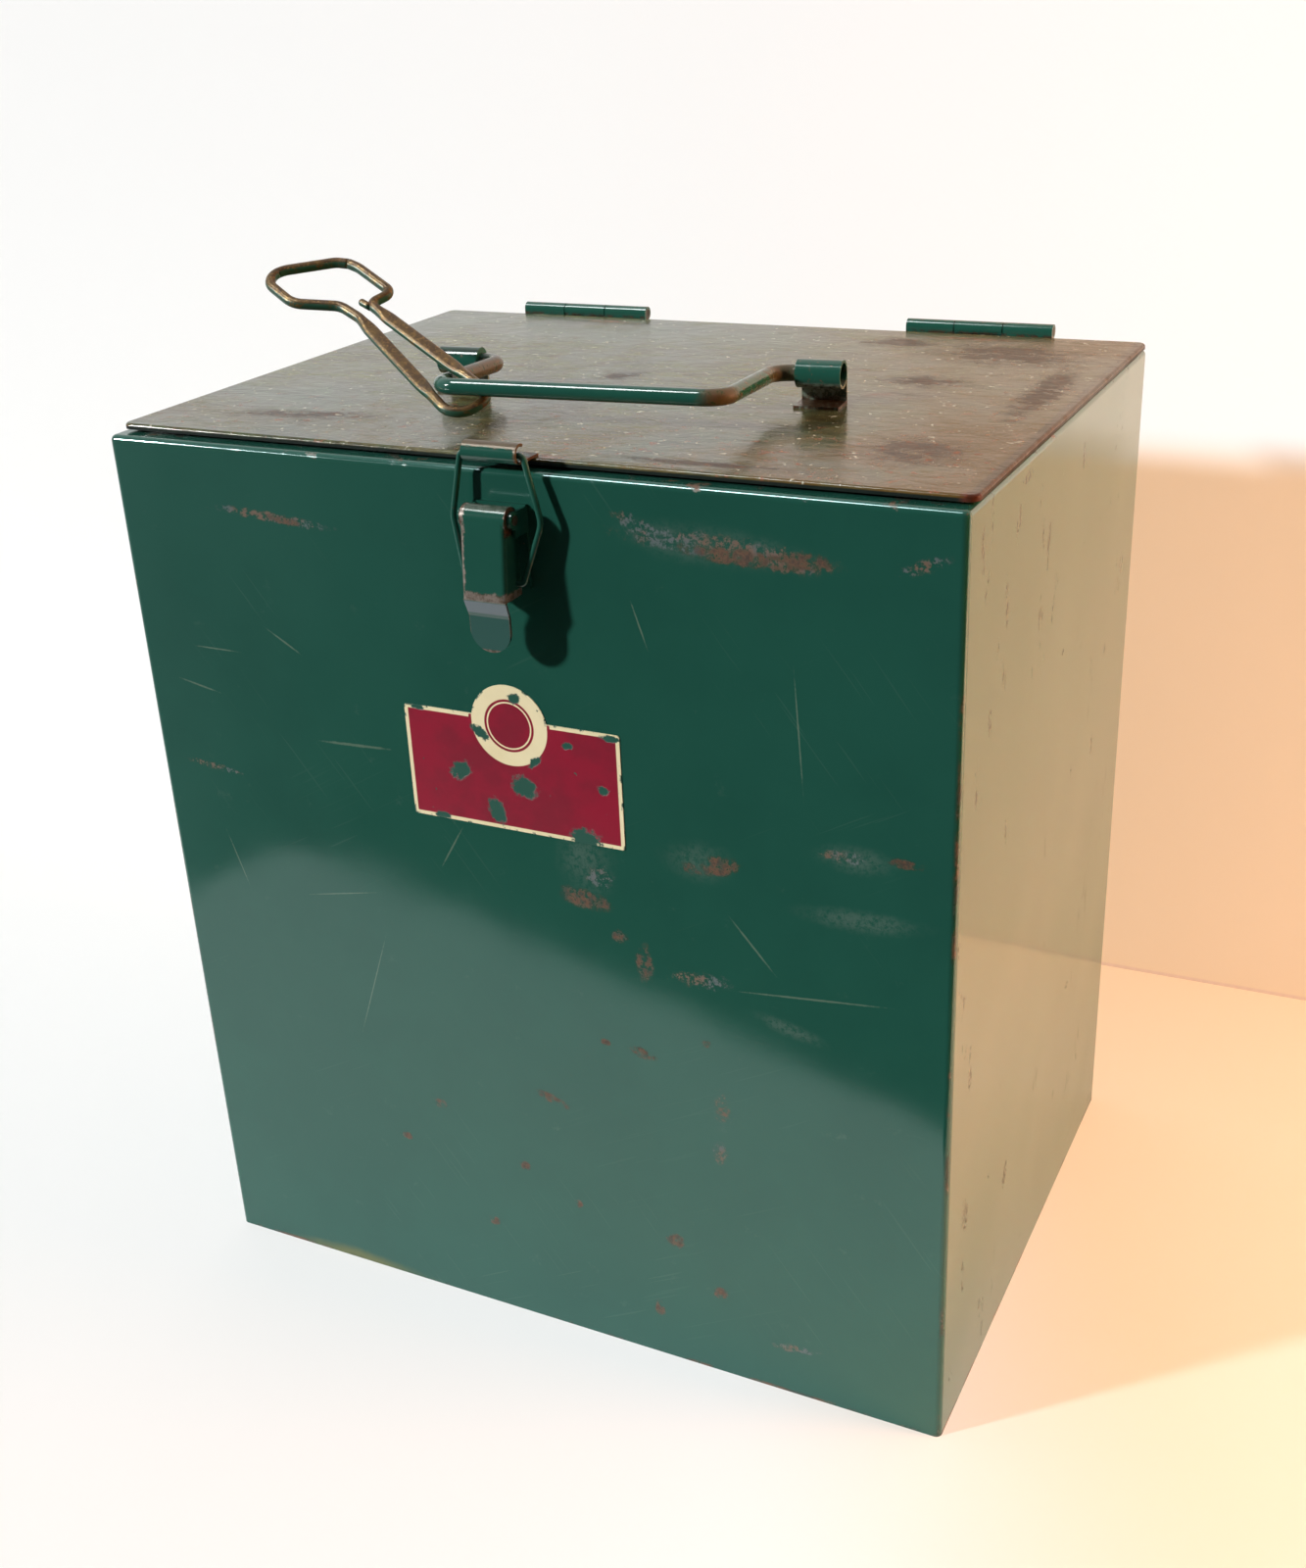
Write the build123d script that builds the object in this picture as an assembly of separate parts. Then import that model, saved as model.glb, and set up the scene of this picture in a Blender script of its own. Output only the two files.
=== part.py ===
from build123d import *
from math import cos, radians, sin, tan
import os

# Painted sheet-steel ice box with a hinged lid, a draw latch, a wire bail handle and a wire bottle
# opener hung on the bail. Millimetres, +Z up, front towards -Y, +X to the right seen from the front.
# The origin is at the centre of the underside.

# Body
body_w = 305.0            # width over the side walls
body_d = 224.0            # depth over the front and rear walls
body_h = 336.0            # floor to the top of the folded rim
sheet = 0.8               # painted sheet thickness of body, base pan and lid
body_edge_r = 2.3         # outside radius of the upright edges
top_bend_r = 2.0          # outside radius where the walls fold in to the rim
rim_w = 21.0              # width of the folded rim, from the outer face inwards
rim_mouth_r = 12.0        # corner radius of the opening in the rim
pan_rim_h = 10.0          # upturned rim of the base pan

# Liner and insulation
liner_t = 0.7             # liner sheet thickness
liner_inset = 22.0        # outer face of the body to outer face of the liner
liner_corner_r = 12.0     # upright corner radius of the liner
liner_bottom_r = 6.0      # radius round the liner floor
liner_flange_w = 14.0     # flange turned out under the rim
base_insulation_t = 26.2  # slab under the liner
insulation_gap = 1.5      # air left above the wall insulation

# Lid
lid_side_in = 1.4         # how much narrower the lid is than the body, over the lips
lid_front_in = 8.6        # how much shallower
lid_shift_x = 1.3         # the lid sits a little to the right of the body
lid_shift_y = 0.9         # and a little towards the rear
lid_gap = 1.1             # rim to the lower edge of the lip
lid_lip_h = 2.0           # height of the turned-down lip
lid_corner_r = 3.5        # corner radius of the lid in plan
lid_edge_r = 1.1          # outside radius of the bend over the lip
lid_pan_t = 0.8           # inner pan sheet thickness
lid_pan_inset = 12.0      # body outer face to the edge of the inner pan's flange
plug_depth = 22.0         # inner pan flange to the underside of its tub
plug_gap = 6.0            # tub to liner, all round
plug_corner_r = 10.0      # upright corner radius of the tub
plug_bottom_r = 4.0       # radius round the underside of the tub
gasket_inset = 12.5       # body outer face to the gasket
gasket_w = 7.0            # width of the rubber strip
gasket_rest_gap = 0.1     # rubber to rim, lid shut

# Hinges: three knuckles each, leaves welded to the rear wall and to the underside of the lid
hinge_len = 58.2          # length of the barrel
hinge_left_in = 66.6      # left side of the body to the middle of the left hinge
hinge_right_in = 65.2     # right side of the body to the middle of the right hinge
barrel_r = 2.7            # outside radius of the knuckles
leaf_t = 0.9              # leaf thickness
leaf_drop = 26.0          # pin centre to the lower edge of the body leaf
leaf_gap = 0.6            # clearance round the leaves
knuckle_gap = 0.4         # gap between neighbouring knuckles
running_fit = 0.06        # radial clearance of moving knuckles and the lever on their pins

# Latch: base and pin on the body, lever with a thumb tab, wire loop, rolled keeper on the lid
latch_x = 3.0             # middle of the latch
lever_pivot_out = 8.2     # body front face to the lever pin
lever_pivot_drop = 12.9   # top of the body to the lever pin
lever_pin_r = 1.6         # lever pin radius
lever_roll_r = 4.1        # outside radius of the roll at the lever's top
lever_w = 16.0            # width of the lever
lever_t = 1.0             # lever sheet thickness
lever_bend_r = 1.6        # outside radius of the lever's upright bends
lever_back_out = 4.6      # body front face to the rear edges of the lever's flanges
lever_slope = 2.2         # how much further out the face stands at the shoulder than at the roll
lever_face_drop = 24.9    # lever pin to the shoulder
shoulder_h = 6.0          # height of the step from the face back to the tab
tab_len = 11.7            # thumb tab below the step
tab_w = 14.6              # width of the thumb tab
base_half = 9.4           # half width over the ears of the latch base
base_t = 1.2              # latch base thickness
base_drop = 24.0          # lever pin to the lower edge of the latch base
base_rise = 3.0           # lever pin to the upper edge of the latch base
ear_r = 2.8               # radius of the ears round the pin
pin_stick_out = 0.3       # lever pin past the ears
loop_wire_r = 1.0         # wire radius of the loop
loop_pivot_out = 7.0      # body front face to the loop's ends
loop_pivot_drop = 20.6    # lever pin to the loop's ends
loop_top_out = 3.3        # body front face to the loop's top run
loop_top_h = 2.8          # loop's top run above the lid
loop_hole_fit = 0.08      # radial clearance of the wire ends in the lever
loop_end_half = 6.2       # middle of the loop to the tips of its ends
loop_foot_half = 10.4     # middle to the lower bends
loop_waist = 19.5         # height of the widest place above the ends
loop_waist_left = 14.5    # middle to the widest place on the left
loop_waist_right = 17.1   # middle to the widest place on the right
loop_top_half = 11.1      # middle to the upper bends
loop_foot_bend_r = 1.4
loop_waist_bend_r = 8.0
loop_top_bend_r = 2.0
keeper_x = 3.2            # middle of the keeper
keeper_w = 19.3           # keeper width
keeper_t = 0.9            # keeper sheet thickness
keeper_len = 11.0         # flat strip from its rear end to the middle of the roll
keeper_roll_out = 2.75    # body front face to the middle of the roll
keeper_roll_r = 3.25      # outside radius of the roll
keeper_open = 50.0        # angle above level, on the rear side, where the roll stops

# Label plate
label_w = 81.5
label_h = 41.0
label_t = 0.3
label_x = -0.65           # middle of the plate
label_drop = 104.0        # top of the body to the middle of the plate
label_disc_r = 14.35      # round tab that stands up from the plate
label_disc_rise = 18.0    # middle of the plate to the middle of the tab
label_corner_r = 1.0

# Bail handle and its lugs, turned a little on the lid
handle_x = 6.5            # middle of the pivot line
handle_y = -23.3
handle_yaw = 4.84         # turn seen from above, anticlockwise, degrees
bail_pivot_h = 10.4       # pivot line above the lid
bail_half = 50.3          # middle to the arms
bail_arm = 51.94          # pivot line to the grip, level
bail_grip_rise = 2.9      # grip above the pivot line
bail_rod_r = 2.75
bail_bend_r = 7.5
bail_end_in = 6.5         # rod's ends past the inner ends of the lug tubes
bail_fit = 0.08           # radial clearance of the rod in the lug tubes
lug_arm_out = 8.2         # arms' centre lines to the inner ends of the lug tubes
lug_w = 15.5              # length of the lug tubes
lug_tube_r = 4.7          # outside radius of the lug tubes
lug_t = 0.9               # lug sheet thickness
lug_collar_w = 7.0        # inner stretch of each tube, drawn down to the rod; the rest is open
lug_foot = 11.0           # flange on the lid, rear to front

# Bottle opener: one bent wire, hung over the left arm and under the grip
opener_wire_r = 1.8
opener_x = -20.35         # anchor under the grip, from the middle of the handle
opener_drop = 8.4         # anchor below the grip's centre line
opener_heading = 157.8    # direction of its length seen from above, from the handle's +X, degrees
opener_rise = 21.8        # climb of its length, degrees
opener_roll = -20.0       # turn about its length, degrees
opener_joint_gap = 0.3    # open butt joint of the wire
# Corners of the bent wire as (along, across) from the anchor, with the bend radius of each,
# from one side of the butt joint round to the other
opener_joint = (99.9, -8.5)
opener_bends = [
    (95.6, -9.5, 12.0),
    (77.0, -9.5, 3.0),
    (77.7, -0.1, 2.6),
    (12.8, -0.1, 5.6),
    (12.8, 16.3, 7.4),
    (74.5, 6.9, 14.0),
    (84.0, 7.6, 8.0),
    (96.8, 18.5, 9.0),
    (114.0, 18.1, 5.6),
    (113.5, 10.4, 9.0),
    (103.8, -5.7, 7.0),
]
opener_catch_r = 1.3      # small tooth at the neck of the loop
opener_catch_len = 5.2

# Places that follow from the sizes above
front = -body_d / 2
rear = body_d / 2
liner_w = body_w - 2 * liner_inset
liner_d = body_d - 2 * liner_inset
liner_z = sheet + base_insulation_t
liner_top = body_h - sheet
lid_w = body_w - lid_side_in
lid_d = body_d - lid_front_in
lid_lip_z = body_h + lid_gap
lid_top = lid_lip_z + lid_lip_h
lid_under = lid_top - sheet
plug_w = liner_w - 2 * liner_t - 2 * plug_gap
plug_d = liner_d - 2 * liner_t - 2 * plug_gap
hinge_left_x = -body_w / 2 + hinge_left_in
hinge_right_x = body_w / 2 - hinge_right_in
hinge_y = rear + barrel_r
hinge_z = lid_under - leaf_t + barrel_r
hinge_pin_r = barrel_r - leaf_t - running_fit
lever_pivot_y = front - lever_pivot_out
lever_pivot_z = body_h - lever_pivot_drop
loop_pivot_z = lever_pivot_z - loop_pivot_drop
loop_top_z = lid_top + loop_top_h
label_z = body_h - label_drop
label_disc_z = label_z + label_disc_rise
lug_in_half = bail_half + lug_arm_out
handle_place = Pos(handle_x, handle_y, lid_top) * Rot(0, 0, handle_yaw)


def upright_block(width, depth, height, z, corner_r, x=0.0, y=0.0):
    """Block with rounded upright edges, standing at height z."""
    outline = RectangleRounded(width, depth, corner_r)
    return Pos(x, y, z) * extrude(outline, amount=height)


def end_edges(solid, top):
    """Edges round the top or the bottom face."""
    return solid.faces().sort_by(Axis.Z)[-1 if top else 0].edges()


def span_box(x0, x1, y0, y1, z0, z1):
    """Box between two corners."""
    middle = Pos((x0 + x1) / 2, (y0 + y1) / 2, (z0 + z1) / 2)
    return middle * Box(x1 - x0, y1 - y0, z1 - z0)


def rod_x(x0, x1, y, z, radius):
    """Round bar along X."""
    return Pos((x0 + x1) / 2, y, z) * Rot(0, 90, 0) * Cylinder(radius, x1 - x0)


def side_profile(x0, x1, points):
    """Plate cut to (y, z) points, from x0 to x1."""
    outline = make_face(Polyline(*[(x0, y, z) for y, z in points], close=True))
    return extrude(outline, amount=x1 - x0, dir=(1, 0, 0))


def wire_along(path, radius):
    """Round wire along a path."""
    start = Plane(origin=path @ 0, z_dir=path % 0)
    return sweep(start * Circle(radius), path=path)


def make_body_shell():
    outer = upright_block(body_w, body_d, body_h, 0, body_edge_r)
    outer = fillet(end_edges(outer, True), top_bend_r)
    inner_h = body_h - sheet + 5
    inner = upright_block(body_w - 2 * sheet, body_d - 2 * sheet, inner_h, -5, body_edge_r - sheet)
    inner = fillet(end_edges(inner, True), top_bend_r - sheet)
    mouth = upright_block(body_w - 2 * rim_w, body_d - 2 * rim_w, 2 * rim_w, body_h - rim_w, rim_mouth_r)
    return outer - inner - mouth


def make_base_pan():
    width = body_w - 2 * sheet
    depth = body_d - 2 * sheet
    outer_r = body_edge_r - sheet
    pan = upright_block(width, depth, pan_rim_h, 0, outer_r)
    hollow = upright_block(width - 2 * sheet, depth - 2 * sheet, pan_rim_h, sheet, outer_r / 2)
    return pan - hollow


def make_base_insulation():
    width = body_w - 4 * sheet
    depth = body_d - 4 * sheet
    corner_r = (body_edge_r - sheet) / 2
    return upright_block(width, depth, base_insulation_t, sheet, corner_r)


def make_wall_insulation():
    height = liner_top - liner_t - insulation_gap - liner_z
    corner_r = body_edge_r - sheet
    ring = upright_block(body_w - 2 * sheet, body_d - 2 * sheet, height, liner_z, corner_r)
    hole = upright_block(liner_w, liner_d, height + 10, liner_z - 5, liner_corner_r)
    return ring - hole


def make_inner_liner():
    tub = upright_block(liner_w, liner_d, liner_top - liner_z, liner_z, liner_corner_r)
    tub = fillet(end_edges(tub, False), liner_bottom_r)
    flange_r = liner_corner_r + liner_flange_w / 2
    flange = upright_block(
        liner_w + 2 * liner_flange_w, liner_d + 2 * liner_flange_w, liner_t, liner_top - liner_t, flange_r
    )
    hollow = upright_block(
        liner_w - 2 * liner_t,
        liner_d - 2 * liner_t,
        liner_top - liner_z,
        liner_z + liner_t,
        liner_corner_r - liner_t,
    )
    hollow = fillet(end_edges(hollow, False), liner_bottom_r - liner_t)
    return tub + flange - hollow


def make_lid_skin():
    skin = upright_block(lid_w, lid_d, lid_lip_h, lid_lip_z, lid_corner_r, lid_shift_x, lid_shift_y)
    skin = fillet(end_edges(skin, True), lid_edge_r)
    hollow = upright_block(
        lid_w - 2 * sheet,
        lid_d - 2 * sheet,
        lid_lip_h - sheet + 5,
        lid_lip_z - 5,
        lid_corner_r - sheet,
        lid_shift_x,
        lid_shift_y,
    )
    skin = skin - hollow
    lid_rear = lid_shift_y + lid_d / 2
    for x in (hinge_left_x, hinge_right_x):
        half = hinge_len / 2 + leaf_gap
        skin = skin - span_box(x - half, x + half, lid_rear - 2 * sheet, lid_rear + 5, lid_lip_z - 5, lid_under)
    return skin


def lid_tub(wall):
    """Outside of the lid's tub, drawn in by a wall."""
    tub = upright_block(
        plug_w - 2 * wall, plug_d - 2 * wall, plug_depth - wall, lid_under - plug_depth + wall, plug_corner_r - wall
    )
    return fillet(end_edges(tub, False), plug_bottom_r - wall)


def make_lid_inner_pan():
    flange = upright_block(
        body_w - 2 * lid_pan_inset,
        body_d - 2 * lid_pan_inset,
        lid_pan_t,
        lid_under - lid_pan_t,
        liner_corner_r,
    )
    return lid_tub(0) + flange - lid_tub(lid_pan_t)


def make_lid_insulation():
    return lid_tub(lid_pan_t)


def make_lid_gasket():
    z = body_h + gasket_rest_gap
    height = lid_under - lid_pan_t - z
    width = body_w - 2 * gasket_inset
    depth = body_d - 2 * gasket_inset
    ring = upright_block(width, depth, height, z, liner_corner_r)
    hole = upright_block(width - 2 * gasket_w, depth - 2 * gasket_w, height + 2, z - 1, liner_corner_r - gasket_w / 2)
    return ring - hole


def knuckle_spans(x):
    """X ranges of the three knuckles of a hinge whose middle is x."""
    third = hinge_len / 3
    cuts = [x - 1.5 * third, x - 0.5 * third, x + 0.5 * third, x + 1.5 * third]
    half_gap = knuckle_gap / 2
    return [
        (cuts[0], cuts[1] - half_gap),
        (cuts[1] + half_gap, cuts[2] - half_gap),
        (cuts[2] + half_gap, cuts[3]),
    ]


def make_hinge_body_leaf(x):
    left, middle, right = knuckle_spans(x)
    plate_top = hinge_z - barrel_r - leaf_gap
    leaf = span_box(left[0], right[1], rear, rear + leaf_t, hinge_z - leaf_drop, plate_top)
    for x0, x1 in (left, right):
        neck = span_box(x0, x1, rear, rear + leaf_t, plate_top - 1, hinge_z)
        leaf = leaf + neck + rod_x(x0, x1, hinge_y, hinge_z, barrel_r)
    return leaf - rod_x(left[0] - 1, right[1] + 1, hinge_y, hinge_z, hinge_pin_r)


def make_hinge_lid_leaf(x):
    left, middle, right = knuckle_spans(x)
    leaf_z = hinge_z - barrel_r
    inner_edge = rear - lid_pan_inset + leaf_gap
    leaf = span_box(left[0], right[1], inner_edge, rear - leaf_gap, leaf_z, leaf_z + leaf_t)
    leaf = leaf + span_box(middle[0], middle[1], rear - leaf_gap - 1, hinge_y, leaf_z, leaf_z + leaf_t)
    leaf = leaf + rod_x(middle[0], middle[1], hinge_y, hinge_z, barrel_r)
    return leaf - rod_x(middle[0] - 1, middle[1] + 1, hinge_y, hinge_z, hinge_pin_r + running_fit)


def make_hinge_pin(x):
    return rod_x(x - hinge_len / 2, x + hinge_len / 2, hinge_y, hinge_z, hinge_pin_r)


def make_latch_base():
    z = lever_pivot_z
    plate = span_box(latch_x - base_half, latch_x + base_half, front - base_t, front, z - base_drop, z + base_rise)
    for x0 in (latch_x - base_half, latch_x + base_half - base_t):
        ear = span_box(x0, x0 + base_t, lever_pivot_y, front, z - 2 * ear_r, z + ear_r * 0.9)
        plate = plate + ear + rod_x(x0, x0 + base_t, lever_pivot_y, z, ear_r)
    return plate - rod_x(latch_x - base_half - 1, latch_x + base_half + 1, lever_pivot_y, z, lever_pin_r)


def make_latch_pin():
    half = base_half + pin_stick_out
    return rod_x(latch_x - half, latch_x + half, lever_pivot_y, lever_pivot_z, lever_pin_r)


def make_latch_lever():
    half = lever_w / 2
    y_back = front - lever_back_out
    y_face = lever_pivot_y - lever_roll_r
    y_shoulder = y_face - lever_slope
    z_pin = lever_pivot_z
    z_shoulder = z_pin - lever_face_drop
    z_step = z_shoulder - shoulder_h
    z_tip = z_step - tab_len
    z_flange = z_pin - lever_pin_r
    channel = side_profile(
        latch_x - half,
        latch_x + half,
        [(y_back, z_flange), (y_back, z_shoulder), (y_shoulder, z_shoulder), (y_face, z_pin), (y_face + 1, z_pin)],
    )
    bends = channel.edges().filter_by(
        lambda e: abs(e.center().Y - (y_face + y_shoulder) / 2) < 0.2 and e.length > lever_face_drop * 0.9
    )
    channel = fillet(bends, lever_bend_r)
    hollow = side_profile(
        latch_x - half + lever_t,
        latch_x + half - lever_t,
        [
            (front, z_pin + lever_roll_r),
            (front, z_shoulder - 5),
            (y_shoulder + lever_t, z_shoulder - 5),
            (y_shoulder + lever_t, z_shoulder),
            (y_face + lever_t, z_pin),
            (y_face + lever_t, z_pin + lever_roll_r),
        ],
    )
    channel = channel - hollow
    step = side_profile(
        latch_x - half,
        latch_x + half,
        [
            (y_shoulder, z_shoulder),
            (y_face, z_step),
            (y_face, z_tip),
            (y_face + lever_t, z_tip),
            (y_face + lever_t, z_step),
            (y_shoulder + lever_t, z_shoulder),
        ],
    )
    tab_half = tab_w / 2
    outline = Polyline(
        (latch_x - half + 0.4, 0, z_shoulder),
        (latch_x - tab_half, 0, z_step),
        (latch_x - tab_half, 0, z_tip + tab_half),
        (latch_x + tab_half, 0, z_tip + tab_half),
        (latch_x + tab_half, 0, z_step),
        (latch_x + half - 0.4, 0, z_shoulder),
        close=True,
    )
    front_view = extrude(make_face(outline), amount=2 * body_d, both=True, dir=(0, -1, 0))
    tip = Pos(latch_x, front, z_tip + tab_half) * Rot(90, 0, 0) * Cylinder(tab_half, body_d)
    step = step & (front_view + tip)
    roll = rod_x(latch_x - half, latch_x + half, lever_pivot_y, z_pin, lever_roll_r)
    lever = channel + step + roll
    lever = lever - rod_x(latch_x - half - 1, latch_x + half + 1, lever_pivot_y, z_pin, lever_pin_r + running_fit)
    loop_hole = loop_wire_r + loop_hole_fit
    return lever - rod_x(latch_x - half - 1, latch_x + half + 1, front - loop_pivot_out, loop_pivot_z, loop_hole)


def make_latch_loop():
    rise = loop_top_z - loop_pivot_z
    back = loop_pivot_out - loop_top_out
    height = (rise**2 + back**2) ** 0.5
    corners = [
        (-loop_end_half, 0),
        (-loop_foot_half, 0),
        (-loop_waist_left, loop_waist),
        (-loop_top_half, height),
        (loop_top_half, height),
        (loop_waist_right, loop_waist),
        (loop_foot_half, 0),
        (loop_end_half, 0),
    ]
    bends = [loop_foot_bend_r, loop_waist_bend_r, loop_top_bend_r]
    place = Plane(origin=(latch_x, front - loop_pivot_out, loop_pivot_z), x_dir=(1, 0, 0), z_dir=(0, -rise, back))
    points = [place.from_local_coords((x, u, 0)) for x, u in corners]
    path = FilletPolyline(*points, radius=bends + bends[::-1])
    return wire_along(path, loop_wire_r)


def make_latch_keeper():
    roll_y = front - keeper_roll_out
    roll_z = lid_top + keeper_roll_r
    x0 = keeper_x - keeper_w / 2
    x1 = keeper_x + keeper_w / 2
    strip = span_box(x0, x1, roll_y, roll_y + keeper_len, lid_top, lid_top + keeper_t)
    roll = rod_x(x0, x1, roll_y, roll_z, keeper_roll_r)
    roll = roll - rod_x(x0 - 1, x1 + 1, roll_y, roll_z, keeper_roll_r - keeper_t)
    reach = 3 * keeper_roll_r
    opening = side_profile(
        x0 - 1,
        x1 + 1,
        [
            (roll_y, roll_z),
            (roll_y, roll_z - reach),
            (roll_y + reach, roll_z - reach),
            (roll_y + reach, roll_z + reach * tan(radians(keeper_open))),
        ],
    )
    return strip + (roll - opening)


def make_label_plate():
    plate = Pos(label_x, label_z) * RectangleRounded(label_w, label_h, label_corner_r)
    disc = Pos(label_x, label_disc_z) * Circle(label_disc_r)
    face = Plane(origin=(0, front, 0), x_dir=(1, 0, 0), z_dir=(0, -1, 0))
    return extrude(face * (plate + disc), amount=label_t)


def make_handle_lug(side):
    x0 = lug_in_half if side > 0 else -lug_in_half - lug_w
    x1 = x0 + lug_w
    web = span_box(x0, x1, lug_tube_r - lug_t, lug_tube_r, 0, bail_pivot_h)
    foot = span_box(x0, x1, lug_tube_r - lug_foot, lug_tube_r, 0, lug_t)
    tube = rod_x(x0, x1, 0, bail_pivot_h, lug_tube_r)
    bore = rod_x(x0 - 1, x1 + 1, 0, bail_pivot_h, bail_rod_r + bail_fit)
    open_end = side * (lug_in_half + lug_w + 1)
    open_start = side * (lug_in_half + lug_collar_w)
    hollow = rod_x(min(open_start, open_end), max(open_start, open_end), 0, bail_pivot_h, lug_tube_r - lug_t)
    return handle_place * (web + foot + tube - bore - hollow)


def make_bail_handle():
    pivot = bail_pivot_h
    grip = bail_pivot_h + bail_grip_rise
    end_half = lug_in_half + bail_end_in
    points = [
        (-end_half, 0, pivot),
        (-bail_half, 0, pivot),
        (-bail_half, -bail_arm, grip),
        (bail_half, -bail_arm, grip),
        (bail_half, 0, pivot),
        (end_half, 0, pivot),
    ]
    path = FilletPolyline(*points, radius=bail_bend_r)
    return handle_place * wire_along(path, bail_rod_r)


def opener_plane():
    """Plane of the bent wire in the handle's frame: x along its length, y across it."""
    heading = radians(opener_heading)
    rise = radians(opener_rise)
    roll = radians(opener_roll)
    along = Vector(cos(rise) * cos(heading), cos(rise) * sin(heading), sin(rise))
    level = Vector(-sin(heading), cos(heading), 0)
    tilt = along.cross(level)
    across = level * cos(roll) + tilt * sin(roll)
    anchor = (opener_x, -bail_arm, bail_pivot_h + bail_grip_rise - opener_drop)
    return Plane(origin=anchor, x_dir=along, z_dir=along.cross(across))


def make_bottle_opener():
    first = Vector(*opener_joint)
    before = Vector(opener_bends[-1][0], opener_bends[-1][1])
    back = (before - first).normalized() * opener_joint_gap
    ends = [(first.X, first.Y), (first.X + back.X, first.Y + back.Y)]
    corners = [ends[0]] + [(a, b) for a, b, r in opener_bends] + [ends[1]]
    path = FilletPolyline(*[(a, b, 0) for a, b in corners], radius=[r for a, b, r in opener_bends])
    wire = wire_along(path, opener_wire_r)
    neck = opener_bends[2]
    tooth = Plane(origin=(neck[0] - 1.5, neck[1] + 0.8, 0), x_dir=(0, 0, 1), z_dir=(1, 0.12, 0))
    catch = extrude(tooth * Circle(opener_catch_r), amount=opener_catch_len)
    return handle_place * (opener_plane() * (wire + catch))


pieces = {
    "body_shell": make_body_shell(),
    "base_pan": make_base_pan(),
    "base_insulation": make_base_insulation(),
    "wall_insulation": make_wall_insulation(),
    "inner_liner": make_inner_liner(),
    "lid_skin": make_lid_skin(),
    "lid_inner_pan": make_lid_inner_pan(),
    "lid_insulation": make_lid_insulation(),
    "lid_gasket": make_lid_gasket(),
    "hinge_body_leaf_left": make_hinge_body_leaf(hinge_left_x),
    "hinge_body_leaf_right": make_hinge_body_leaf(hinge_right_x),
    "hinge_lid_leaf_left": make_hinge_lid_leaf(hinge_left_x),
    "hinge_lid_leaf_right": make_hinge_lid_leaf(hinge_right_x),
    "hinge_pin_left": make_hinge_pin(hinge_left_x),
    "hinge_pin_right": make_hinge_pin(hinge_right_x),
    "latch_base": make_latch_base(),
    "latch_pin": make_latch_pin(),
    "latch_lever": make_latch_lever(),
    "latch_loop": make_latch_loop(),
    "latch_keeper": make_latch_keeper(),
    "label_plate": make_label_plate(),
    "handle_lug_left": make_handle_lug(-1),
    "handle_lug_right": make_handle_lug(1),
    "bail_handle": make_bail_handle(),
    "bottle_opener": make_bottle_opener(),
}

os.makedirs("parts", exist_ok=True)
for name, piece in pieces.items():
    solids = piece.solids()
    export_step(solids[0] if len(solids) == 1 else Compound(solids), f"parts/{name}.step")
    print(name, len(solids), "solid", round(sum(s.volume for s in solids), 2), "mm3")
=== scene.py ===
import math

import bpy
import numpy as np
from bpy.props import FloatProperty, FloatVectorProperty, PointerProperty
from mathutils import Matrix, Vector


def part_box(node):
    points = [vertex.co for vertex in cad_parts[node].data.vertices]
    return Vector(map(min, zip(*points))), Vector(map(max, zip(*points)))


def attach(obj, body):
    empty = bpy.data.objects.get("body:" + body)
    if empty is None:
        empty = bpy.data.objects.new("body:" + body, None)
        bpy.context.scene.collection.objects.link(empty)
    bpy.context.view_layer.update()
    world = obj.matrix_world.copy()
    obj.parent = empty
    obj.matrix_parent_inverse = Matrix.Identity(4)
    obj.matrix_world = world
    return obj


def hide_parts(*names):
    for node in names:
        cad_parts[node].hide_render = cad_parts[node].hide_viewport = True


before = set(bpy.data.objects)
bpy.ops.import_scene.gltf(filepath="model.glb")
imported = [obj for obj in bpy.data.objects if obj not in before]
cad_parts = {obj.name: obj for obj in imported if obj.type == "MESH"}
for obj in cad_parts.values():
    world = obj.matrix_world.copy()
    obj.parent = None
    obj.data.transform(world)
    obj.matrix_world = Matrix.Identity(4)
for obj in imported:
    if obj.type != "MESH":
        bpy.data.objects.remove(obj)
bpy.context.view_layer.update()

bl_info = {
    "name": "Portable ice box",
    "version": (1, 0, 0),
    "blender": (4, 5, 0),
    "location": "View3D > Sidebar > Ice box",
    "description": "Finishes and fine pieces of a worn green sheet-steel ice box",
    "category": "Object",
}

MM = 0.001

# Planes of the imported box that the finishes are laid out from
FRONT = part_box("body_shell")[0][1]
RIGHT, REAR, BODY_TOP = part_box("body_shell")[1]
LID_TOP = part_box("lid_skin")[1][2]


def tone(hex_colour):
    """Linear RGBA of a screen colour written as six hex digits."""
    values = [int(hex_colour[i : i + 2], 16) / 255 for i in (0, 2, 4)]
    return (*[v / 12.92 if v <= 0.04045 else ((v + 0.055) / 1.055) ** 2.4 for v in values], 1.0)


# Settings that a user would change


def colour_setting(name, hex_colour, description):
    return FloatVectorProperty(
        name=name,
        description=description,
        subtype="COLOR",
        size=4,
        min=0.0,
        max=1.0,
        default=tone(hex_colour),
    )


def level_setting(name, default, description):
    return FloatProperty(name=name, description=description, default=default, min=0)


def factor_setting(name, default, description):
    return FloatProperty(
        name=name, description=description, default=default, min=0, max=1, subtype="FACTOR"
    )


def length_setting(name, default, description):
    return FloatProperty(name=name, description=description, default=default, min=0, unit="LENGTH")


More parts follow.
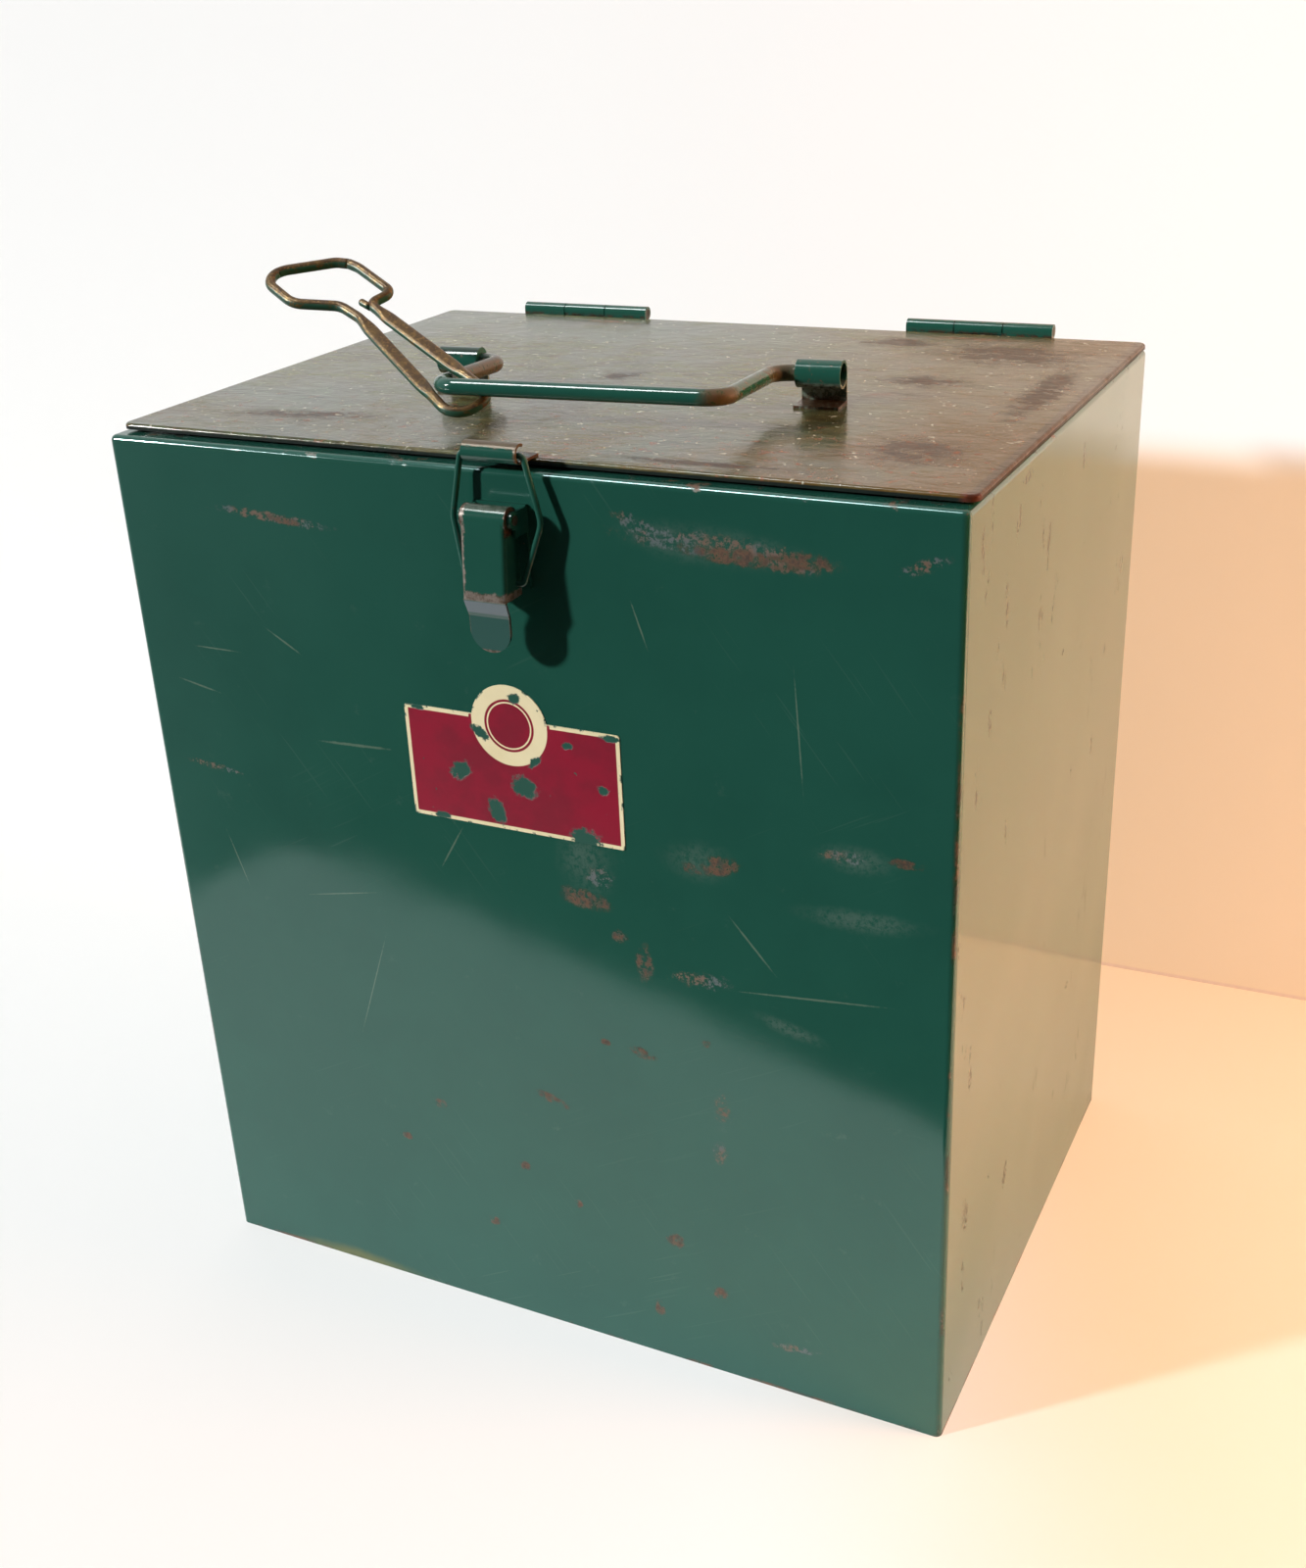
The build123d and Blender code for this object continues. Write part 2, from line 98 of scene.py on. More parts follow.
class ICEBOX_PG_colours(bpy.types.PropertyGroup):
    enamel: colour_setting("Enamel", "1f5044", "Green enamel of the box")
    enamel_deep: colour_setting("Enamel shade", "17443a", "Darker patches of the enamel")
    lid_worn: colour_setting("Worn lid", "76835f", "Thinned enamel of the lid")
    lid_brown: colour_setting("Browned lid", "5a4520", "Stained parts of the lid")
    rust: colour_setting("Rust", "6e4128", "Red-brown rust")
    primer: colour_setting("Scraped metal", "5c5e63", "Bare metal under scraped paint")
    crimson: colour_setting("Label crimson", "8a0f2c", "Ground of the label")
    cream: colour_setting("Label cream", "efe6c2", "Border and ring of the label")
    wire: colour_setting("Opener steel", "66522f", "Browned steel of the opener")


class ICEBOX_PG_stage(bpy.types.PropertyGroup):
    focal_mm: level_setting("Lens", 41.074, "Camera focal length in millimetres")
    world_level: level_setting("World", 0.55, "Brightness of the room")
    key_power: level_setting("Key light", 3.75, "Light from the front left")
    warm_power: level_setting("Warm lamp", 16.0, "Watts of the warm lamp on the right")
    backdrop_glow: factor_setting("Backdrop", 0.62, "How far the backdrop is lifted to white")
    window_level: level_setting("Window", 60.0, "Brightness of the overhead window in mirrors")


class ICEBOX_PG_wear(bpy.types.PropertyGroup):
    dirt: factor_setting("Dirt", 0.35, "How much the enamel varies in tone")
    scratches: factor_setting("Scratches", 0.5, "How strong the fine scratches are")
    warp: length_setting("Warp", 0.0016, "Unevenness of the sheet as bump height")


class ICEBOX_PG_opener(bpy.types.PropertyGroup):
    wire_radius: length_setting("Wire radius", 0.0018, "Radius of the round wire")
    shank_width: length_setting("Shank width", 0.0049, "Width of the pressed shanks")
    shank_thickness: length_setting("Shank thickness", 0.0026, "Thickness of the pressed shanks")
    spacing: length_setting("Spacing", 0.0007, "Distance between cross-sections")


class ICEBOX_PG_settings(bpy.types.PropertyGroup):
    colours: PointerProperty(type=ICEBOX_PG_colours)
    stage: PointerProperty(type=ICEBOX_PG_stage)
    wear: PointerProperty(type=ICEBOX_PG_wear)
    opener: PointerProperty(type=ICEBOX_PG_opener)


def settings():
    return bpy.context.scene.ice_box


def colour(name):
    return tuple(getattr(settings().colours, name))


# Shader writing

# Outputs that are picked by number
GENERATED, OBJECT_PLACE = 0, 3  # of Texture Coordinate; GENERATED is the direction in a world
NORMAL, BACKFACING = 1, 6  # of Geometry
CAMERA_RAY, GLOSSY_RAY, TRANSMISSION_RAY = 0, 3, 6  # of Light Path

WHITE = (1.0, 1.0, 1.0, 1.0)
PATCH_DEPTH = 0.004  # half size of a wall's patch through the wall


class Sock:
    """A shader socket. Arithmetic on it adds Math nodes."""

    def __init__(self, writer, socket):
        self.writer = writer
        self.socket = socket

    def math(self, operation, *others):
        inputs = dict(enumerate((self, *others)))
        return self.writer.node("ShaderNodeMath", inputs, operation=operation)[0]

    def __add__(self, other):
        return self.math("ADD", other)

    def __sub__(self, other):
        return self.math("SUBTRACT", other)

    def __rsub__(self, other):
        return self.writer.node("ShaderNodeMath", {0: other, 1: self}, operation="SUBTRACT")[0]

    def __mul__(self, other):
        return self.math("MULTIPLY", other)

    __radd__ = __add__

    def bigger(self, other):
        return self.math("MAXIMUM", other)

    def smaller(self, other):
        return self.math("MINIMUM", other)

    def size(self):
        return self.math("ABSOLUTE")

    def ramp(self, start, end):
        """0 at start, 1 at end, smooth between; start may be above end."""
        inputs = {0: self, 1: start, 2: end, 3: 0.0, 4: 1.0}
        return self.writer.node("ShaderNodeMapRange", inputs, interpolation_type="SMOOTHSTEP")[0]


class Writer:
    """Writes the nodes of one tree."""

    def __init__(self, tree):
        self.tree = tree
        self.tree.nodes.clear()

    def node(self, kind, inputs=None, **settings_of_node):
        """Adds a node, sets it and fills or links its inputs. Returns its outputs."""
        made = self.tree.nodes.new(kind)
        for key, value in settings_of_node.items():
            setattr(made, key, value)
        for key, value in (inputs or {}).items():
            if isinstance(value, Sock):
                self.tree.links.new(value.socket, made.inputs[key])
            else:
                made.inputs[key].default_value = value
        return [Sock(self, output) for output in made.outputs]

    def mix(self, amount, low, high):
        """Colour between low and high."""
        return self.node("ShaderNodeMix", {0: amount, 6: low, 7: high}, data_type="RGBA")[2]

    def split(self, vector):
        """The three parts of a vector."""
        return self.node("ShaderNodeSeparateXYZ", {0: vector})


class Finish(Writer):
    """A material and its nodes, laid out in object coordinates."""

    def __init__(self, name):
        self.material = bpy.data.materials.new(name)
        self.material.use_nodes = True
        super().__init__(self.material.node_tree)
        self.place = self.node("ShaderNodeTexCoord")[OBJECT_PLACE]
        self.x, self.y, self.z = self.split(self.place)

    def noise(self, scale, detail=3.0, rough=0.5, stretch=(1, 1, 1), where=None, warp=0.0, seed=0.0):
        """Fractal noise about 0.5, scale per metre, squeezed by stretch; a seed moves it."""
        inputs = {0: where or self.place, 1: (seed, seed * 0.7, seed * 1.3), 3: stretch}
        moved = self.node("ShaderNodeMapping", inputs)[0]
        inputs = {"Vector": moved, "Scale": scale, "Detail": detail}
        inputs |= {"Roughness": rough, "Distortion": warp}
        return self.node("ShaderNodeTexNoise", inputs)[0]

    def any_of(self, place, marks, *look):
        """Strongest of several patches, each joined to the last as it is made.

        place is one of the patch methods below, marks holds the first arguments of each patch and look
        the others, which the patches share.
        """
        result = None
        for mark in marks:
            mask = place(*mark, *look)
            result = mask if result is None else result.bigger(mask)
        return result

    def patch(self, centre, reach, turn, ragged, edge, fray):
        """Soft ellipsoid about centre with half sizes reach, turned about the axis it is thin along.

        The distance to the centre in units of reach, plus ragged noise worth fray, falls off over edge.
        """
        inputs = {0: self.place, 1: centre, 2: turn, 3: reach}
        local = self.node("ShaderNodeMapping", inputs, vector_type="TEXTURE")[0]
        distance = self.node("ShaderNodeVectorMath", {0: local}, operation="LENGTH")[1]
        return (distance + (ragged - 0.5) * fray).ramp(1.0, 1.0 - edge)

    def front_patch(self, x, z, half_w, half_h, degrees, *look):
        """Patch on the front wall, placed in millimetres."""
        centre = (x * MM, FRONT, z * MM)
        reach = (half_w * MM, PATCH_DEPTH, half_h * MM)
        return self.patch(centre, reach, (0, -math.radians(degrees), 0), *look)

    def side_patch(self, y, z, half_w, half_h, degrees, *look):
        """Patch on the right wall, placed in millimetres."""
        centre = (RIGHT, y * MM, z * MM)
        reach = (PATCH_DEPTH, half_w * MM, half_h * MM)
        return self.patch(centre, reach, (math.radians(degrees), 0, 0), *look)

    def top_patch(self, x, y, half_w, half_d, degrees, *look):
        """Patch on the lid, placed in millimetres."""
        centre = (x * MM, y * MM, LID_TOP)
        reach = (half_w * MM, half_d * MM, PATCH_DEPTH)
        return self.patch(centre, reach, (0, 0, math.radians(degrees)), *look)

    def front_stroke(self, start, end, half_width, ragged):
        """Thin scratch from start to end on the front wall, in millimetres."""
        run_x, run_z = end[0] - start[0], end[1] - start[1]
        middle = ((start[0] + end[0]) / 2, (start[1] + end[1]) / 2)
        half_run = math.hypot(run_x, run_z) / 2
        slope = math.degrees(math.atan2(run_z, run_x))
        return self.front_patch(*middle, half_run, half_width, slope, ragged, 0.6, 0.9)

    def bump(self, height, distance, strength, under=None):
        """Normal from a height between 0 and 1, worth distance metres."""
        values = {"Strength": strength, "Distance": distance, "Height": height}
        if under is not None:
            values["Normal"] = under
        return self.node("ShaderNodeBump", values)[0]

    def finish(self, base, rough, metal, normal, coat=None, ior=1.5, tint=WHITE):
        """Principled surface from these sockets or numbers."""
        values = {
            "Base Color": base,
            "Roughness": rough,
            "Metallic": metal,
            "Normal": normal,
            "IOR": ior,
            "Specular Tint": tint,
        }
        if coat is not None:
            values["Coat Weight"] = coat
            values["Coat Roughness"] = 0.08
        shader = self.node("ShaderNodeBsdfPrincipled", values)[0]
        self.node("ShaderNodeOutputMaterial", {0: shader})
        return self.material


def middle(node):
    """Middle of a CAD node's box."""
    return [(low + high) / 2 for low, high in zip(*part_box(node))]


def dress(node, material):
    """Gives a CAD node its material."""
    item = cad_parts[node]
    item.data.materials.clear()
    item.data.materials.append(material)


def enamel_tone(skin, seed=0.0):
    """Green enamel that drifts between two tones, with faint pale haze."""
    drift = skin.noise(14, 4, 0.6, seed=seed).ramp(0.35, 0.68)
    green = skin.mix(drift * settings().wear.dirt, colour("enamel"), colour("enamel_deep"))
    haze = skin.noise(90, 5, 0.7, seed=seed + 3).ramp(0.62, 0.8)
    return skin.mix(haze * 0.10, green, tone("7f9184"))


def scratch_field(skin, seed, angle):
    """Hair scratches: very long thin noise, kept only where it peaks."""
    inputs = {0: skin.place, 2: (0.3 * angle, angle, 0.7 * angle)}
    turned = skin.node("ShaderNodeMapping", inputs)[0]
    fine = skin.noise(26, 1, 0.3, (1, 1, 42), turned, seed=seed)
    gate = skin.noise(9, 2, 0.5, (1, 1, 1.5), seed=seed + 5).ramp(0.52, 0.66)
    return fine.ramp(0.696, 0.74) * gate


# Scrapes on the front wall, in millimetres: x, z, half width, half height, turn in degrees
FRONT_SCRAPES = [
    (77, 318.2, 38, 4.6, -3.5),
    (52, 321.5, 13, 3.2, -22),
    (98, 316.4, 17, 4.4, 0),
    (-86, 312.6, 27, 2.1, -4),
    (66, 167.6, 13, 3.6, 5),
    (116, 223.2, 9, 2.6, 0),
    (140, 319, 9, 2.4, 20),
    (98, 20.8, 10, 2.0, 8),
    (72, 118, 3.4, 7.5, 0),
    (70.5, 99, 3.0, 5.5, 0),
    (-128, 215, 14, 1.6, -6),
    (30, 199, 6, 5.0, 10),
]
# Faint smears and rust spots, laid out the same way
FRONT_SMEARS = [
    (122, 202, 28, 5, 3),
    (98, 156, 15, 4, -14),
    (24, 205, 14, 16, 0),
    (77, 318.6, 44, 8, -3.5),
    (66, 212, 15, 9, 0),
    (118, 223, 18, 6, 0),
]
FRONT_RUST = [
    (24, 190, 10.5, 4.6, -8),
    (45, 170, 3.6, 8.0, 0),
    (36, 178, 3.4, 3.0, 0),
    (4, 104, 8.6, 2.2, -15),
    (-62, 69.5, 2.6, 1.9, 0),
    (-9.4, 70.2, 2.8, 2.4, 0),
    (-25.7, 40, 2.8, 2.4, 0),
    (-44.7, 89, 3.2, 2.4, 0),
    (12, 59.5, 2.2, 2.2, 0),
    (42, 133, 5.5, 2.4, -10),
    (28, 134, 2.2, 1.8, 0),
    (74, 212, 8, 4.0, 20),
    (64, 209, 4, 2.4, -20),
    (52, 55, 4, 3.6, 0),
    (69, 36, 3.6, 3.6, 0),
    (44, 21, 2.4, 4.2, 0),
    (84, 316, 22, 3.0, -2),
    (104, 317, 9, 3.0, 0),
    (-82, 312.2, 8, 1.6, -6),
    (136, 224.3, 6, 1.9, 0),
    (67, 143, 2.2, 1.8, 0),
]
# Single scratches: start and end as x, z, then half the width
FRONT_STROKES = [
    ((74.5, 166), (137, 173), 0.5),
    ((-81.8, 232.5), (-46, 234), 0.7),
    ((-96.4, 272.8), (-81.2, 263.9), 0.5),
    ((-139.8, 248.8), (-119.2, 244.8), 0.5),
    ((75.3, 195.9), (93.8, 174.3), 0.5),
    ((-130, 262), (-108, 262), 0.4),
    ((100, 285), (103, 240), 0.35),
    ((-22, 210), (-34, 190), 0.45),
    ((46, 300), (52, 282), 0.4),
    ((-60, 160), (-78, 110), 0.3),
    ((-128, 190), (-120, 165), 0.35),
    ((-96, 168), (-60, 176), 0.3),
]
# Chips on the right wall: y, z, half width, half height, turn
SIDE_CHIPS = [
    (-91, 82, 4, 9, 10),
    (-40, 63, 3, 9, -12),
    (5.5, 253, 2.4, 1.6, 0),
    (43, 98, 3.4, 1.8, 0),
    (-91, 138, 2.2, 6, 0),
    (-70, 296, 2.0, 10, 8),
    (-84, 262, 2.2, 8, 0),
    (-30, 306, 1.8, 7, 12),
    (20, 318, 2.0, 6, 10),
    (-60, 214, 1.6, 7, 5),
    (60, 196, 1.6, 6, 0),
    (-52, 330, 9, 2.4, 0),
    (-98, 322, 3, 9, 0),
]


# One stain along the foot of the front wall
FOOT_STAIN = (-93, 0, 42, 5.5, 0)

RUB_INSET = 0.0012  # how far in from an upright corner its rubbed paint reaches
FOLD_INSET = 0.0014  # the same below the top fold
RUB_FADE = (-0.0008, 0.0006)  # how it fades out about that line
BODY_IOR = 1.65
BODY_SHEEN = (0.72, 1.0, 1.0, 1.0)  # takes the red out of the walls' reflections
LID_IOR = 1.27
LID_COAT = 0.36


def body_finish():
    """Glossy green enamel with the scrapes, rust and scratches of the front and side walls."""
    skin = Finish("body_green_enamel")
    ragged = skin.noise(240, 5, 0.72)
    grit = skin.noise(620, 4, 0.7, seed=1.0)
    soft = skin.noise(60, 4, 0.6, seed=2.0)
    scraped = skin.any_of(skin.front_patch, FRONT_SCRAPES, ragged, 0.5, 1.5)
    scraped = scraped * grit.ramp(0.44, 0.62)
    rust = skin.any_of(skin.front_patch, FRONT_RUST, ragged, 0.5, 1.3)
    rust = rust * ragged.ramp(0.62, 0.46) * grit.ramp(0.30, 0.46)
    strokes = skin.any_of(skin.front_stroke, FRONT_STROKES, grit)
    smears = skin.any_of(skin.front_patch, FRONT_SMEARS, soft, 0.95, 1.0) * grit.ramp(0.30, 0.62)
    hair = scratch_field(skin, 4.0, 0.5).bigger(scratch_field(skin, 9.0, -0.9))

    # Right wall: dark chips and drags, thicker towards the top and the front edge
    on_side = skin.x.ramp(RIGHT - RUB_INSET, RIGHT - 0.0004)
    side_grit = skin.noise(75, 6, 0.75, (1, 1.0, 0.45), seed=11.0)
    near_top = skin.z.ramp(0.20, BODY_TOP)
    near_front = skin.y.ramp(FRONT + 0.06, FRONT)
    chips = side_grit.ramp(0.62, 0.67) * (0.35 + near_top.bigger(near_front) * 0.70)
    drags = skin.any_of(skin.side_patch, SIDE_CHIPS, ragged, 0.6, 1.8) * grit.ramp(0.40, 0.56)
    side_wear = chips.bigger(drags) * on_side

    # Edges: the paint is rubbed through along the upright corners, the top fold and the foot
    corner_x = (skin.x.size() - (RIGHT - RUB_INSET)).ramp(*RUB_FADE)
    corner_y = (skin.y.size() - (REAR - RUB_INSET)).ramp(*RUB_FADE)
    fold_z = (skin.z - (BODY_TOP - FOLD_INSET)).ramp(*RUB_FADE)
    foot_z = skin.z.ramp(0.0016, 0.0004)
    upright = corner_x * corner_y
    rubbed_upright = upright * skin.noise(45, 5, 0.7, (1, 1, 0.5), seed=6.0).ramp(0.50, 0.60)
    rubbed_fold = fold_z * skin.noise(60, 5, 0.75, seed=7.0).ramp(0.56, 0.64)
    rubbed = rubbed_upright.bigger(rubbed_fold)
    rubbed = rubbed.bigger(foot_z * skin.noise(30, 5, 0.7, seed=8.0).ramp(0.48, 0.58))
    foot_stain = skin.front_patch(*FOOT_STAIN, soft, 0.8, 0.7)

    base = enamel_tone(skin)
    base = skin.mix(hair * settings().wear.scratches * 0.14, base, tone("6f8b7c"))
    base = skin.mix(foot_stain * 0.55, base, tone("7c7434"))
    metal_tone = skin.mix(soft.ramp(0.42, 0.56), colour("primer"), tone("74503f"))
    base = skin.mix(smears * 0.22, base, tone("7f8c84"))
    base = skin.mix(scraped * 0.85, base, metal_tone)
    base = skin.mix(strokes * 0.26, base, tone("93a08c"))
    rust_tone = skin.mix(grit.ramp(0.4, 0.6), colour("rust"), tone("3a2418"))
    base = skin.mix(rust * 0.9, base, rust_tone)
    base = skin.mix(side_wear * 0.85, base, tone("2b241a"))
    base = skin.mix(rubbed * 0.8, base, skin.mix(soft.ramp(0.45, 0.6), tone("33271f"), tone("6d3b22")))
    worn = scraped.bigger(rust).bigger(side_wear).bigger(rubbed)
    rough = 0.08 + soft * 0.05 + worn * 0.42 + hair * 0.08
    ripple = skin.bump(skin.noise(9, 2, 0.4, seed=12.0), settings().wear.warp, 1.0)
    peel = skin.bump(grit, 0.00003, 0.5, ripple)
    side_gloss = on_side * (0.12 + skin.z.ramp(0.0, 0.20) * 0.70)
    return skin.finish(base, rough, 0.0, peel, side_gloss, BODY_IOR, BODY_SHEEN)


# Brown stains on the lid: x, y, half width, half depth, turn
LID_STAINS = [
    (66, 86, 20, 13, 0),
    (112, 74, 38, 24, -10),
    (138, 20, 10, 56, 0),
    (122, -66, 20, 22, 30),
    (96, 24, 22, 12, 0),
    (66, -98, 40, 4, 0),
    (-95, -78, 40, 8, 8),
    (-14, 6, 12, 8, 0),
]
# Orange rust round the fittings on the lid, laid out the same way
LID_RUST = [
    (86, 2, 9, 4, 12),
    (-66, 99, 15, 3, 0),
    (90, 99, 26, 3, 0),
    (17, -104, 7, 3, 0),
]
# The rusty corner of its lip: centre, half sizes and turn
LID_CORNER = ((0.1515, -0.1055, LID_TOP - 0.001), (0.005, 0.004, 0.004), (0, 0, 0))


def lid_finish():
    """Enamel rubbed thin on the lid: grey-green streaks, brown stains, rust specks, glossy in parts."""
    skin = Finish("lid_worn_enamel")
    cloud = skin.noise(16, 6, 0.68, warp=0.5)
    fine = skin.noise(120, 8, 0.78, (0.55, 1.3, 1), seed=1.0, warp=0.6)
    grit = skin.noise(700, 4, 0.72, seed=2.0)
    green_places = skin.noise(30, 5, 0.7, (0.7, 1.2, 1), seed=5.0).ramp(0.50, 0.64)
    near_front = skin.y.ramp(FRONT + 0.085, FRONT + 0.02)
    to_right = skin.x.ramp(0.02, 0.15)
    base = skin.mix(cloud.ramp(0.36, 0.62), colour("lid_worn"), tone("43593e"))
    base = skin.mix(fine.ramp(0.46, 0.55) * 0.8, base, tone("262b1a"))
    base = skin.mix(green_places * (0.30 + near_front * 0.6), base, tone("1b4a3d"))
    browned = (cloud * 0.7 + fine * 0.3).ramp(0.62, 0.44) * (0.28 + to_right * 0.65 + near_front * 0.35)
    base = skin.mix(browned, base, colour("lid_brown"))
    base = skin.mix(0.12 + to_right * 0.25, base, tone("604a24"))
    ragged = skin.noise(150, 7, 0.78, (0.7, 1.3, 1), seed=6.0)
    stains = skin.any_of(skin.top_patch, LID_STAINS, ragged, 0.8, 2.2) * ragged.ramp(0.66, 0.50)
    base = skin.mix(stains * 0.9, base, skin.mix(grit.ramp(0.4, 0.6), tone("281b11"), tone("4c3019")))
    rusty_places = 0.35 + near_front * 0.6 + to_right * 0.35
    rusty = skin.noise(210, 5, 0.75, seed=7.0).ramp(0.57, 0.66) * rusty_places
    base = skin.mix(rusty, base, tone("7a4627"))
    pale = skin.noise(420, 2, 0.5, seed=8.0).ramp(0.69, 0.72)
    base = skin.mix(pale * 0.7, base, tone("c9c8b4"))
    around_fittings = skin.any_of(skin.top_patch, LID_RUST, ragged, 0.9, 0.9)
    rust_tone = skin.mix(grit.ramp(0.4, 0.6), tone("8a4f28"), tone("5a3620"))
    base = skin.mix(around_fittings * 0.9, base, rust_tone)
    # The narrow lip is painted near-black, painted shade like the dark gap under the lid, with a rusty
    # front right corner; the right edge above it is browned
    shaded_lip = skin.z.ramp(LID_TOP - 0.0007, LID_TOP - 0.0012)
    base = skin.mix(shaded_lip, base, tone("131d19"))
    corner = skin.patch(*LID_CORNER, ragged, 0.6, 0.6)
    base = skin.mix(corner, base, tone("5a2a1c"))
    right_edge = skin.x.ramp(RIGHT - 0.0035, RIGHT - 0.0020)
    base = skin.mix(right_edge * 0.6, base, tone("2e1e12"))
    rough = 0.13 + fine * 0.14 + stains * 0.12 + rusty * 0.15 + shaded_lip * 0.3
    low = skin.bump(skin.noise(8, 2, 0.4, seed=12.0), 0.0012, 1.0)
    dents = skin.bump(skin.noise(90, 5, 0.66, (0.7, 1.2, 1), seed=9.0, warp=0.4), 0.00050, 1.0, low)
    pits = skin.bump(grit, 0.00006, 0.7, dents)
    gloss = (cloud * 0.5 + fine * 0.5).ramp(0.42, 0.56) * (1 - stains)
    return skin.finish(base, rough, 0.0, pits, gloss * LID_COAT, LID_IOR)


def hardware_green(name, seed, bare, worn, rusted=None, pale=None):
    """Green enamel on a fitting, over metal of the tone bare.

    worn, rusted and pale are functions of the finish and a ragged noise that give masks; pale gives a
    painted sheen, and the lever's worn mask also holds a painted highlight on its tab's rim.
    """
    skin = Finish(name)
    ragged = skin.noise(480, 5, 0.72, seed=seed)
    grit = skin.noise(1500, 3, 0.6, seed=seed + 1)
    base = enamel_tone(skin, seed)
    # pale paints a sheen: a pale blue-grey where a face catches light or mirrors the floor
    if pale is not None:
        base = skin.mix(pale(skin, ragged) * 0.7, base, tone("6c7783"))
    bared = worn(skin, ragged)
    bare_tone = skin.mix(ragged.ramp(0.4, 0.62), tone(bare), tone("5c4a3a"))
    base = skin.mix(bared * 0.9, base, bare_tone)
    dull = bared
    if rusted is not None:
        red = rusted(skin, ragged)
        rust_tone = skin.mix(grit.ramp(0.4, 0.6), tone("573520"), tone("2f2118"))
        base = skin.mix(red * 0.9, base, rust_tone)
        dull = dull.bigger(red)
    rough = 0.07 + ragged * 0.07 + dull * 0.22
    normal = skin.bump(ragged, 0.00006, 0.5)
    return skin.finish(base, rough, dull * 0.3, normal)


def specks(start):
    """Mask function of small worn spots; a lower start gives more of them."""

    def mask(skin, ragged):
        return ragged.ramp(start, 0.70)

    return mask


def plain_metal(name, light, dark, rough_low, scale, metal=0.85, seed=0.0, spangle=False):
    """Bare or galvanised sheet; spangle gives zinc crystals."""
    skin = Finish(name)
    cloud = skin.noise(scale, 5, 0.65, seed=seed)
    fine = skin.noise(scale * 9, 3, 0.6, seed=seed + 1)
    base = skin.mix(cloud.ramp(0.35, 0.65), tone(light), tone(dark))
    if spangle:
        cells = skin.node("ShaderNodeTexVoronoi", {"Vector": skin.place, "Scale": 110.0})
        grey = skin.node("ShaderNodeSeparateColor", {0: cells[1]})[0]
        base = skin.mix(grey * 0.35, base, tone("dfe3e4"))
    rough = rough_low + cloud * 0.18
    return skin.finish(base, rough, metal, skin.bump(fine, 0.00003, 0.5))


def pin_steel(name):
    """Dark turned steel of a pin."""
    return plain_metal(name, "6f6a60", "453c30", 0.4, 200)


def soft_solid(name, light, dark, scale, bump_depth, rough=0.85):
    """Rubber or pressed fibre."""
    skin = Finish(name)
    cloud = skin.noise(scale, 6, 0.7)
    fibre = skin.noise(scale * 6, 3, 0.6, (1, 3, 1), seed=2.0)
    base = skin.mix(cloud.ramp(0.35, 0.65), tone(light), tone(dark))
    return skin.finish(base, rough - fibre * 0.1, 0.0, skin.bump(fibre, bump_depth, 0.7))


class ICEBOX_OT_box(bpy.types.Operator):
    """Finish the box: enamelled walls and the base pan"""

    bl_idname = "icebox.box"
    bl_label = "Box"

    def execute(self, context):
        dress("body_shell", body_finish())
        dress("base_pan", plain_metal("base_pan_zinc", "8b8d88", "6a6a64", 0.42, 40, 0.7))
        return {"FINISHED"}


class ICEBOX_OT_inside(bpy.types.Operator):
    """Finish the liner, the lid's inner pan, the gasket and the insulation"""

    bl_idname = "icebox.inside"
    bl_label = "Inside"

    def execute(self, context):
        zinc = plain_metal("liner_zinc", "a7abab", "83888a", 0.3, 30, 0.85, 2.0, spangle=True)
        dress("inner_liner", zinc)
        dress("lid_inner_pan", zinc)
        dress("lid_gasket", soft_solid("gasket_rubber", "232323", "161616", 90, 0.00005, 0.7))
        board = soft_solid("insulation_fibre", "b39a70", "8c7450", 120, 0.0003)
        for node in ("wall_insulation", "base_insulation", "lid_insulation"):
            dress(node, board)
        return {"FINISHED"}


class ICEBOX_OT_lid(bpy.types.Operator):
    """Finish the lid's worn top"""

    bl_idname = "icebox.lid"
    bl_label = "Lid"

    def execute(self, context):
        dress("lid_skin", lid_finish())
        return {"FINISHED"}


class ICEBOX_OT_hinges(bpy.types.Operator):
    """Finish the hinge leaves and pins"""

    bl_idname = "icebox.hinges"
    bl_label = "Hinges"

    def execute(self, context):
        axis_z = middle("hinge_pin_left")[2]

        def rubbed(skin, ragged):
            return (skin.z - axis_z).ramp(0.0019, 0.0027) * ragged.ramp(0.56, 0.62)

        def rust_below(skin, ragged):
            return (skin.z - axis_z).ramp(-0.0004, -0.0016) * ragged.ramp(0.44, 0.56)

        green = hardware_green("hinge_green", 21.0, "7b8f86", rubbed, rust_below)
        pin = pin_steel("hinge_pin_steel")
        for side in ("left", "right"):
            dress("hinge_body_leaf_" + side, green)
            dress("hinge_lid_leaf_" + side, green)
            dress("hinge_pin_" + side, pin)
        return {"FINISHED"}


# The latch lever's face, in metres
LEVER_SHOULDER = 0.0249  # its step, below the pin
LEVER_FACE = 0.0066  # half the width of its flat above the step
# Outside LEVER_RIM the thumb tab's rim is painted paler, a painted highlight along its edge
LEVER_RIM = 0.0069  # half the width inside the thumb tab's rim
LEVER_ENDS = (0.0074, 0.0079)  # half the width where the pin's ends rust


